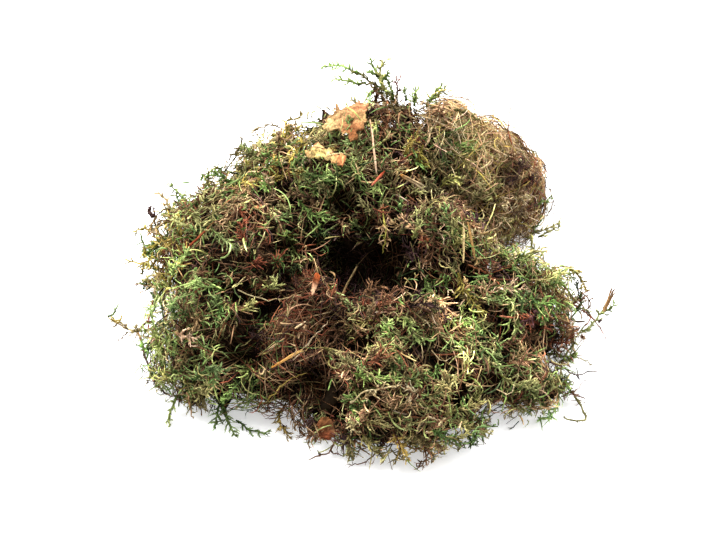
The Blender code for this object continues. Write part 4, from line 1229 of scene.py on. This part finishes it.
def add_branchlets(
    growth, stems, uprights, roots, tips, lengths, rng,
    pairs=BRANCH_PAIRS, reach=BRANCH_REACH, leafy_share=BRANCH_LEAFY_SHARE, thick=1.0,
):
    """Hooked branchlets on both sides of each stem, longest near its middle, some plain and some leafy."""
    count = len(stems)
    branches = pairs * 2
    total = count * branches
    share = (np.arange(branches) + 1.2) / (branches + 1.2)
    share = share + rng.uniform(-0.4, 0.4, (count, branches)) / branches
    starts, along = along_paths(stems, share)
    upright = unit(flatten(along_paths(uprights, share)[0], along))
    side = np.cross(upright, along) * np.where(np.arange(branches) % 2, 1, -1)[:, None]
    angle = rng.uniform(*BRANCH_ANGLES, (count, branches, 1))
    lift = rng.normal(0.2, 0.45, (count, branches, 1))
    heading = unit(along * np.cos(angle) + side * np.sin(angle) + upright * lift)
    swell = np.sin(math.pi * np.clip(share * 0.85 + 0.12, 0, 1)) ** 0.8
    size = lengths[:, None] * reach * swell * rng.uniform(0.5, 1.3, (count, branches)) + BRANCH_LEAST
    bend = along + rng.normal(0, 0.6, (count, branches, 3)) - 0.25 * upright
    turns = np.abs(rng.normal(1.2, 0.8, total))
    starts, heading, bend = (block.reshape(-1, 3) for block in (starts, heading, bend))
    paths = arcs(starts, heading, bend, size.ravel(), turns, BRANCH_RINGS)
    light = np.exp(rng.normal(0, 0.28, (total, 1)))
    root, tip = (np.repeat(ends, branches, axis=0) * light for ends in (roots, tips))
    leafy = rng.random(total) < leafy_share
    tints = ramp(root, tip, np.linspace(0.1, 1, BRANCH_RINGS))
    tints = tints * rng.uniform(0.75, 1.25, (total, BRANCH_RINGS, 1))
    plain, amount = (~leafy).sum(), leafy.sum()
    knobs = rng.uniform(0.75, 1.25, (plain, BRANCH_RINGS))
    radii = rng.uniform(*BRANCH_RADII, (plain, 1)) * thick * BRANCH_TAPER * knobs
    add_tubes(growth, paths[~leafy], radii, tints[~leafy], rng, twist=0.9)
    leaf_lengths = rng.uniform(*BRANCH_LEAF_LENGTHS, amount) * thick
    leaf_widths = rng.uniform(*BRANCH_LEAF_WIDTHS, amount) * thick
    paths, tints = paths[leafy][:, ::2], tints[leafy][:, ::2]
    add_leafy(growth, paths, BRANCH_RADII[0] * thick, tints, BRANCH_LEAVES, leaf_lengths, leaf_widths, rng)


def add_shoots(growth, blanket, owner, mat, rng):
    """Single leafy shoots that rise out of the mat and curl over."""
    places, normals = blanket.scatter(owner, mat.shoots, rng)
    count = len(places)
    headings = start_headings(normals, mat.flow, rng)
    length = rng.uniform(*SHOOT_LENGTHS, count)
    rise = rng.uniform(0.2, 1.5, (count, 1))
    starts = places + normals * (lifts(places, rng) - 2.0)
    direction = unit(headings + normals * rise)
    bend = rng.normal(size=(count, 3)) * 0.7 + headings - 0.5 * normals
    paths = arcs(starts, direction, bend, length, np.abs(rng.normal(1.2, 0.8, count)), SHOOT_RINGS)
    roots, tips = tinted(paints_at(places, mat.home, rng), rng)
    tints = ramp(roots * 0.7, tips, np.linspace(0, 1, SHOOT_RINGS))
    sizes = (SHOOT_RADII, SHOOT_LEAF_LENGTHS, SHOOT_LEAF_WIDTHS)
    radius, leaf_lengths, leaf_widths = (rng.uniform(*size, count) for size in sizes)
    add_leafy(growth, paths, radius, tints, SHOOT_LEAVES, leaf_lengths, leaf_widths, rng)


def add_curls(growth, blanket, owner, mat, rng):
    """Loose hooked and curled strands on and just over the surface."""
    places, normals = blanket.scatter(owner, mat.curls, rng)
    count = len(places)
    headings = start_headings(normals, mat.flow, rng, spread=1.5)
    rise = rng.uniform(-0.3, 0.9, (count, 1))
    starts = places + normals * (lifts(places, rng) + 0.5)
    bend = rng.normal(size=(count, 3)) * 0.8 + np.cross(normals, headings) - 0.3 * normals
    length = rng.uniform(*CURL_LENGTHS, count) + rng.exponential(1.8, count)
    turns = np.abs(rng.normal(2.0, 1.4, count))
    paths = arcs(starts, unit(headings + normals * rise), bend, length, turns, CURL_RINGS)
    roots, tips = tinted(paints_at(places, mat.home, rng), rng, 0.32)
    tints = ramp(roots, tips * 0.92, np.linspace(0.2, 1, CURL_RINGS))
    tints = tints * rng.uniform(0.7, 1.3, (count, CURL_RINGS, 1))
    taper = CURL_TAPER * rng.uniform(0.7, 1.3, (count, CURL_RINGS))
    leafy = rng.random(count) < CURL_LEAFY_SHARE
    radii = rng.uniform(*CURL_RADII, ((~leafy).sum(), 1)) * taper[~leafy]
    add_tubes(growth, paths[~leafy], radii, tints[~leafy], rng)
    sizes = (CURL_LEAFY_RADII, CURL_LEAF_LENGTHS, CURL_LEAF_WIDTHS)
    radius, leaf_lengths, leaf_widths = (rng.uniform(*size, leafy.sum()) for size in sizes)
    paths, tints = paths[leafy][:, CURL_LEAFY_RINGS], tints[leafy][:, CURL_LEAFY_RINGS]
    add_leafy(growth, paths, radius, tints, CURL_LEAVES, leaf_lengths, leaf_widths, rng)


def add_fibres(growth, blanket, owner, mat, rng):
    """Thin dead stems and roots that run through the mat under its moss."""
    shortest, top, loops, bend, thickest = FIBRES[mat.slot]
    places, normals = blanket.scatter(owner, mat.fibres, rng, gaps=False)
    high = places[:, 2] > FIBRE_FLOOR
    places, normals = places[high], normals[high]
    count = len(places)
    length = rng.uniform(shortest, FIBRE_LONGEST, count)
    deep = rng.uniform(FIBRE_DEEPEST, top, (count, 1)) + np.minimum(rng.exponential(1.2, (count, 1)), loops)
    wave = np.sin(np.arange(FIBRE_RINGS) * rng.uniform(0.4, 1.2, (count, 1)) + rng.uniform(0, 6, (count, 1)))
    heights = deep + wave * rng.uniform(0.3, 1.4, (count, 1))
    headings = start_headings(normals, mat.flow, rng, spread=0.9)
    turns = rng.normal(0, bend, count)
    paths, _ = creep(blanket, places, headings, heights, length / (FIBRE_RINGS - 1), turns)
    if mat.slot in ("root_fibres", "dead_stems"):
        paints = paints_at(places, mat.home, rng)
    else:
        paints = pick(np.repeat(PALETTE_SHARES[[PALETTE_NAMES.index("brown")]], count, axis=0), rng)
    roots, tips = tinted(paints, rng, 0.28)
    tints = ramp(roots, tips, np.linspace(0.2, 1, FIBRE_RINGS))
    add_tubes(growth, paths, rng.uniform(FIBRE_THINNEST, thickest, (count, 1)) * FIBRE_TAPER, tints, rng)


def dress(index, name, blanket):
    """One mat's visible piece, which stands for its solid."""
    mat = MATS[name]
    rng = np.random.default_rng([SEED, index])
    growth = Growth(name + "_moss")
    add_bed(growth, name, blanket, mat.bed, rng)
    for add in (add_fibres, add_fronds, add_shoots, add_curls):
        add(growth, blanket, index, mat, rng)
    growth.sink(HOLLOWS, -FACING)
    growth.shade(blanket)
    growth.sink(DENTS, DENT_WAY)
    growth.build(mat.slot, name)


def seen_at(points):
    """Where points show across and up the photograph's view, in mm."""
    offset = points - TARGET
    nearness = CAMERA_DISTANCE / MM / (CAMERA_DISTANCE / MM - offset @ FACING)
    return np.stack([offset @ VIEW_ACROSS, offset @ VIEW_UP], axis=1) * nearness[:, None]


def beside_node(name, pixels):
    """Places that show at the pixels, as far from the eye as the parts of the CAD node next to them."""
    points = np.array(mats_mesh([name])[0]) / MM
    seen = seen_at(points)
    near = (points - TARGET) @ FACING
    places = []
    for spot in (np.reshape(pixels, (-1, 2)) - PHOTO_MIDDLE) * (PIXEL, -PIXEL):
        toward = near[np.argmin(np.linalg.norm(seen - spot, axis=1))]
        spread = 1 - toward * MM / CAMERA_DISTANCE
        places.append(TARGET + toward * FACING + spread * (spot[0] * VIEW_ACROSS + spot[1] * VIEW_UP))
    return places


def seen_place(blanket, spot, lift):
    """Where a spot of the photograph's view shows on the blanket, lifted towards the eye."""
    ray = unit(TARGET + spot[0] * VIEW_ACROSS + spot[1] * VIEW_UP - EYE)
    hit = blanket.tree.ray_cast(EYE.tolist(), ray.tolist())[0]
    found = np.array(hit) if hit is not None else EYE - ray * (EYE[2] - LOWEST) / ray[2]
    return found - ray * lift


def seen_path(blanket, spots, lift):
    """Places on the blanket under spots of the view; no step in depth is steeper than the spots are apart."""
    places = [seen_place(blanket, spot, lift) for spot in np.reshape(spots, (-1, 2))]
    for index in range(1, len(places)):
        step = places[index] - places[index - 1]
        deeper = step @ FACING
        most = np.linalg.norm(step - deeper * FACING)
        places[index] = places[index] - FACING * (deeper - np.clip(deeper, -most, most))
    return places


def smooth_path(places, rings):
    """Evenly stepped places on a smooth curve through the given ones."""
    places = np.array(places, float)
    padded = np.concatenate([2 * places[:1] - places[1:2], places, 2 * places[-1:] - places[-2:-1]])
    spot = np.linspace(0, len(places) - 1, rings)
    low = np.minimum(spot.astype(int), len(places) - 2)
    part = (spot - low)[:, None]
    before, first, second, after = (padded[low + step] for step in range(4))
    bend = 2 * before - 5 * first + 4 * second - after
    twist = 3 * first - before - 3 * second + after
    return first + 0.5 * ((second - before) * part + bend * part ** 2 + twist * part ** 3)


def wavering_path(places, rings, waver, rng):
    """A smooth path through the places that wavers between its ends and stays off the floor."""
    path = smooth_path(places, rings)
    path[1:-1] += rng.normal(0, waver, (rings - 2, 3))
    path[:, 2] = np.maximum(path[:, 2], LOWEST)
    return path[None]


def stray_tints(paint, rng):
    """Root and tip colour of one stray strand."""
    roots, tips = tinted([PAINT_NAMES.index(paint)], rng, STRAY_SPREAD)
    return roots * STRAY_SHADE, tips * STRAY_SHADE


def grow_shoot(growth, paint, radius, pairs, branch, places, rng):
    """One leafy shoot along its places, with pairs of branchlets flat to the eye. With none, a bare stalk."""
    if not pairs:
        grow_stem(growth, paint, radius, 0, 0, places, rng)
        return
    path = wavering_path(places, STRAY_RINGS, STRAY_WAVER, rng)
    length = np.linalg.norm(np.diff(path[0], axis=0), axis=1).sum()
    roots, tips = stray_tints(paint, rng)
    tints = ramp(roots * 0.9, tips, np.linspace(0, 1, STRAY_RINGS))
    leaves = int(length * STRAY_LEAVES) + STRAY_LEAST_LEAVES
    add_leafy(growth, path, radius, tints, leaves, STRAY_LEAF_LENGTH, STRAY_LEAF_WIDTH, rng)
    add_branchlets(
        growth, path, np.broadcast_to(FACING, path.shape), roots, tips, np.array([length]), rng,
        pairs=pairs, reach=branch / length, leafy_share=STRAY_LEAFY_SHARE, thick=STRAY_THICK,
    )


def grow_stem(growth, paint, radius, rootlets, rootlet_length, places, rng):
    """One bare stem along its places, knotty and uneven, with thin rootlets."""
    path = wavering_path(places, STEM_RINGS, STEM_WAVER, rng)
    roots, tips = stray_tints(paint, rng)
    tints = ramp(roots, tips, rng.uniform(0.1, 0.8, STEM_RINGS))
    knobs = rng.uniform(0.75, 1.2, STEM_RINGS) * np.linspace(1, 0.6, STEM_RINGS)
    add_tubes(growth, path, radius * knobs[None], tints, rng, sides=STEM_SIDES, twist=0.3)
    if not rootlets:
        return
    starts, along = along_paths(path, rng.uniform(0.1, 0.98, (1, rootlets)))
    heading = unit(along[0] * 0.6 + rng.normal(0, 0.7, (rootlets, 3)))
    length = rootlet_length * rng.uniform(0.4, 1.1, rootlets)
    bend = rng.normal(size=(rootlets, 3))
    paths = arcs(starts[0], heading, bend, length, np.abs(rng.normal(0.9, 0.7, rootlets)), ROOTLET_RINGS)
    roots, tips = (np.repeat(ends, rootlets, 0) for ends in (roots, tips))
    radii = rng.uniform(0.4, 0.7, (rootlets, 1)) * radius * np.linspace(1, 0.4, ROOTLET_RINGS)
    add_tubes(growth, paths, radii, ramp(roots, tips, np.linspace(0.2, 0.9, ROOTLET_RINGS)), rng)


def grow_tuft(growth, paint, strands, length, radius, centre, lean, rng):
    """Short strands that spread from one centre, flat to the eye."""
    heading = rng.normal(0, 0.7, (strands, 3)) + lean[0] * VIEW_ACROSS + lean[1] * VIEW_UP
    heading = unit(heading - 0.6 * (heading @ FACING)[:, None] * FACING)
    starts = centre + rng.normal(0, 0.16 * length, (strands, 3))
    lengths = length * rng.uniform(0.5, 1.2, strands)
    turns = np.abs(rng.normal(0.9, 0.7, strands))
    paths = arcs(starts, heading, rng.normal(size=(strands, 3)), lengths, turns, TUFT_RINGS)
    roots, tips = tinted(np.full(strands, PAINT_NAMES.index(paint)), rng)
    tints = ramp(roots, tips, np.linspace(0.2, 1, TUFT_RINGS)) * STRAY_SHADE
    radii = radius * np.linspace(*TUFT_TAPER, TUFT_RINGS) * rng.uniform(0.7, 1.2, (strands, 1))
    add_tubes(growth, paths, radii, tints, rng)


def by_node(table, ending, seed):
    """For each CAD node of a table: its name and row, a growth named after it, and its random numbers."""
    for index, (name, row) in enumerate(table.items()):
        yield name, row, Growth(name + ending), np.random.default_rng([SEED, seed + index])


def add_stray_pieces():
    """The stray shoots and stems round the clump, each in place of its plain CAD solid."""
    kinds = (
        (SHOOTS, "_leaves", 100, "moss_fresh", grow_shoot),
        (STEMS, "_stem", 200, "dead_stems", grow_stem),
    )
    for table, ending, seed, slot, grow in kinds:
        for name, rows, growth, rng in by_node(table, ending, seed):
            for paint, radius, offshoots, length, *pixels in rows:
                grow(growth, paint, radius, offshoots, length, beside_node(name, pixels), rng)
            growth.build(slot, name)


def add_surface_pieces(blanket):
    """The sprigs, dead stems and tufts that stand out on the clump."""
    rng = np.random.default_rng([SEED, 300])
    growth = Growth("surface_sprigs")
    for paint, pairs, branch, lift, *spots in SPRIGS:
        grow_shoot(growth, paint, SPRIG_RADIUS, pairs, branch, seen_path(blanket, spots, lift), rng)
    growth.build("moss_fresh")
    growth = Growth("surface_stems")
    for paint, radius, lift, *spots in STRAYS:
        grow_stem(growth, paint, radius, *STEM_ROOTLETS, seen_path(blanket, spots, lift), rng)
    for paint, strands, length, radius, lift, across, up, *lean in TUFTS:
        grow_tuft(growth, paint, strands, length, radius, seen_place(blanket, (across, up), lift), lean, rng)
    growth.build("dead_stems")


def lumps(points, scale):
    """Smooth noise at each point, from -1 to 1."""
    return np.array([noise.noise(Vector(point * scale)) for point in points])


def litter_tint(srgb):
    """The surface colour of litter that shows as the colour given under these lights."""
    return linear(srgb) * LITTER_LIGHT


def grow_flake(growth, name, lumpiness, plain, blotches, rng):
    """A crumbly copy of a flat CAD solid, with blotches of colour and painted shade in its dips and along its
    cracks.
    """
    skin = Skin(*mats_mesh([name]), 0, FLAKE_VOXEL, 1)
    rise = lumps(skin.points, FLAKE_LUMPS) + 0.5 * lumps(skin.points, FLAKE_GRAIN)
    drift = np.array([noise.noise_vector(Vector(point * FLAKE_LUMPS)) for point in skin.points])
    points = skin.points + skin.normals * (rise * lumpiness)[:, None] + drift * lumpiness * FLAKE_DRIFT
    points[:, 2] = np.maximum(points[:, 2], LEAF_LOWEST)
    seen = seen_at(skin.points) + 0.5 * rng.normal(size=(len(points), 2))
    tints = np.repeat(litter_tint(plain)[None], len(points), axis=0)
    for colour, *spot, radius in blotches:
        near = np.exp(-(np.linalg.norm(seen - np.array(spot), axis=1) / radius) ** 2)[:, None]
        tints = tints * (1 - near) + litter_tint(colour) * near
    cracks = np.clip(1 - np.abs(lumps(skin.points + 50, 2 * FLAKE_LUMPS)) / FLAKE_CRACKS, 0, 1)
    # painted shade in the flake's dips and along its cracks
    dark = DENT_SHADE * np.clip(-rise, 0, 1) + CRACK_SHADE * cracks
    tints = tints * np.exp(FLAKE_MOTTLE * rng.normal(size=len(points)) - dark)[:, None]
    spots = (seen - seen.min(0)) / np.ptp(seen, axis=0).max()
    growth.add(points[None], skin.faces, tints[None], growth.new_cells(1), spots[None])


def rod_path(name):
    """The middle line of a long thin CAD solid, from left to right."""
    points = np.array(mats_mesh([name])[0]) / MM
    offsets = points - points.mean(0)
    axis = np.linalg.svd(offsets, full_matrices=False)[2][0]
    along = offsets @ (axis * np.sign(axis[0]))
    stops = np.linspace(along.min(), along.max(), 4)
    middles = [points[np.abs(along - stop) < np.ptp(along) * 0.17].mean(0) for stop in stops]
    return smooth_path(middles, STRAW_RINGS)


def over_moss(blanket, path):
    """The path drawn towards the eye until it lies on the moss."""
    return path + FACING * np.maximum(blanket.depth(path) + LITTER_RISE, 0)[:, None]


def grow_straw(growth, path, root, tip, strands, spread, radius, rng):
    """A bundle of split strands along a path, which stand further apart towards its tip."""
    share = np.linspace(0, 1, STRAW_RINGS)
    aside = unit(flatten(rng.normal(size=(strands, 3)), unit(path[-1:] - path[:1])))
    away = spread * (0.35 + share ** 2) * rng.uniform(0.4, 1.0, (strands, 1))
    waver = rng.normal(0, STRAW_WAVER, (strands, STRAW_RINGS, 3))
    paths = path[None] + aside[:, None] * away[..., None] + waver
    paths[..., 2] = np.maximum(paths[..., 2], LOWEST)
    light = np.exp(rng.normal(0, 0.2, (strands, 1)))
    tints = ramp(litter_tint(root) * light, litter_tint(tip) * light, share)
    tints = tints * rng.uniform(0.85, 1.15, (strands, STRAW_RINGS, 1))
    taper = np.minimum(1, 0.55 + 2.5 * share) * np.minimum(1, 3.2 * (1 - share))
    radii = radius * taper * rng.uniform(0.7, 1.1, (strands, STRAW_RINGS))
    add_tubes(growth, paths, radii, tints, rng, sides=STRAW_SIDES, twist=0.15)


def add_litter(blanket):
    """The bark, leaf, straw and twig bits, each in place of its plain CAD solid."""
    noise.seed_set(SEED)
    for name, (slot, *look), growth, rng in by_node(FLAKES, "_surface", 400):
        grow_flake(growth, name, *look, rng)
        growth.build(slot, name)
    for name, (slot, *look), growth, rng in by_node(STRAWS, "_strands", 500):
        grow_straw(growth, over_moss(blanket, rod_path(name)), *look, rng)
        growth.build(slot, name)


def new_material(name, roughness, specular=0.03):
    """A node material, and its nodes, links and shader."""
    material = bpy.data.materials.new(name)
    material.use_nodes = True
    nodes, links = material.node_tree.nodes, material.node_tree.links
    shader = nodes["Principled BSDF"]
    shader.inputs["Roughness"].default_value = roughness
    shader.inputs["Specular IOR Level"].default_value = specular
    return material, nodes, links, shader


def add_mottle(nodes, links, scale, detail, light):
    """Noise in the object's space, and a node that turns it into light within the limits given."""
    place = nodes.new("ShaderNodeTexCoord")
    grain = nodes.new("ShaderNodeTexNoise")
    grain.inputs["Scale"].default_value = scale
    grain.inputs["Detail"].default_value = detail
    mottle = nodes.new("ShaderNodeMapRange")
    for name, value in zip(("From Min", "From Max", "To Min", "To Max"), (*MOTTLE_FROM, *light)):
        mottle.inputs[name].default_value = value
    links.new(place.outputs["Object"], grain.inputs["Vector"])
    links.new(grain.outputs["Fac"], mottle.inputs["Value"])
    return grain, mottle


def strand_material(name, roughness, fine, broad):
    """Moss, stems or litter: each strand's own tint, mottled at two scales, with a small bump."""
    material, nodes, links, shader = new_material(name, roughness)
    tint = nodes.new("ShaderNodeAttribute")
    tint.attribute_name = "Tint"
    grain, mottle = add_mottle(nodes, links, fine, 3, FINE_MOTTLE)
    _, drift = add_mottle(nodes, links, broad, 2, BROAD_MOTTLE)
    both = nodes.new("ShaderNodeMath")
    both.operation = "MULTIPLY"
    links.new(mottle.outputs["Result"], both.inputs[0])
    links.new(drift.outputs["Result"], both.inputs[1])
    scale = nodes.new("ShaderNodeVectorMath")
    scale.operation = "SCALE"
    links.new(tint.outputs["Color"], scale.inputs[0])
    links.new(both.outputs["Value"], scale.inputs["Scale"])
    links.new(scale.outputs["Vector"], shader.inputs["Base Color"])
    bump = nodes.new("ShaderNodeBump")
    bump.inputs["Strength"].default_value = BUMP_STRENGTH
    bump.inputs["Distance"].default_value = BUMP_HEIGHT
    links.new(grain.outputs["Fac"], bump.inputs["Height"])
    links.new(bump.outputs["Normal"], shader.inputs["Normal"])
    return material


def add_camera():
    """The photograph's view: 50 degrees down on the clump."""
    data = bpy.data.cameras.new("camera")
    data.sensor_width = SENSOR_WIDTH
    data.lens = SENSOR_WIDTH * CAMERA_DISTANCE / VIEW_WIDTH
    camera = new_object("camera", data)
    camera.location = CAMERA_TARGET + Vector(FACING) * CAMERA_DISTANCE
    camera.rotation_euler = (math.pi / 2 - CAMERA_ELEVATION, 0, 0)
    bpy.context.scene.camera = camera


def add_floor():
    """A plain white floor that glows a little."""
    mesh = bpy.data.meshes.new("floor")
    half = FLOOR_SIZE / 2
    mesh.from_pydata([(i * half, j * half, 0) for i, j in BLOCK_CORNERS], [], [(0, 1, 2, 3)])
    material, _, _, shader = new_material("floor_white", 0.9, specular=0.1)
    shader.inputs["Base Color"].default_value = (FLOOR_GREY, FLOOR_GREY, FLOOR_GREY, 1)
    shader.inputs["Emission Color"].default_value = (1, 1, 1, 1)
    shader.inputs["Emission Strength"].default_value = FLOOR_GLOW
    mesh.materials.append(material)
    floor = new_object("floor", mesh)


def add_light(name, place, size, power):
    """A soft square lamp that faces the clump."""
    data = bpy.data.lights.new(name, "AREA")
    data.shape = "SQUARE"
    data.size = size
    data.energy = power
    lamp = new_object(name, data)
    lamp.location = place
    lamp.rotation_euler = (CAMERA_TARGET - Vector(place)).to_track_quat("-Z", "Y").to_euler()


def add_studio():
    """The soft lamps and the white world."""
    for light in LIGHTS:
        add_light(*light)
    world = bpy.data.worlds.new("studio")
    world.use_nodes = True
    background = world.node_tree.nodes["Background"]
    background.inputs["Color"].default_value = (1, 1, 1, 1)
    background.inputs["Strength"].default_value = WORLD_LIGHT
    bpy.context.scene.world = world
    bpy.context.scene.view_settings.view_transform = "Standard"


add_camera()
add_floor()
add_studio()
MATERIALS = {slot: strand_material(slot, *look) for slot, look in LOOKS.items()}
blanket = Blanket(list(MATS))
for index, name in enumerate(MATS):
    dress(index, name, blanket)
add_stray_pieces()
add_surface_pieces(blanket)
add_litter(blanket)
add_core(blanket)
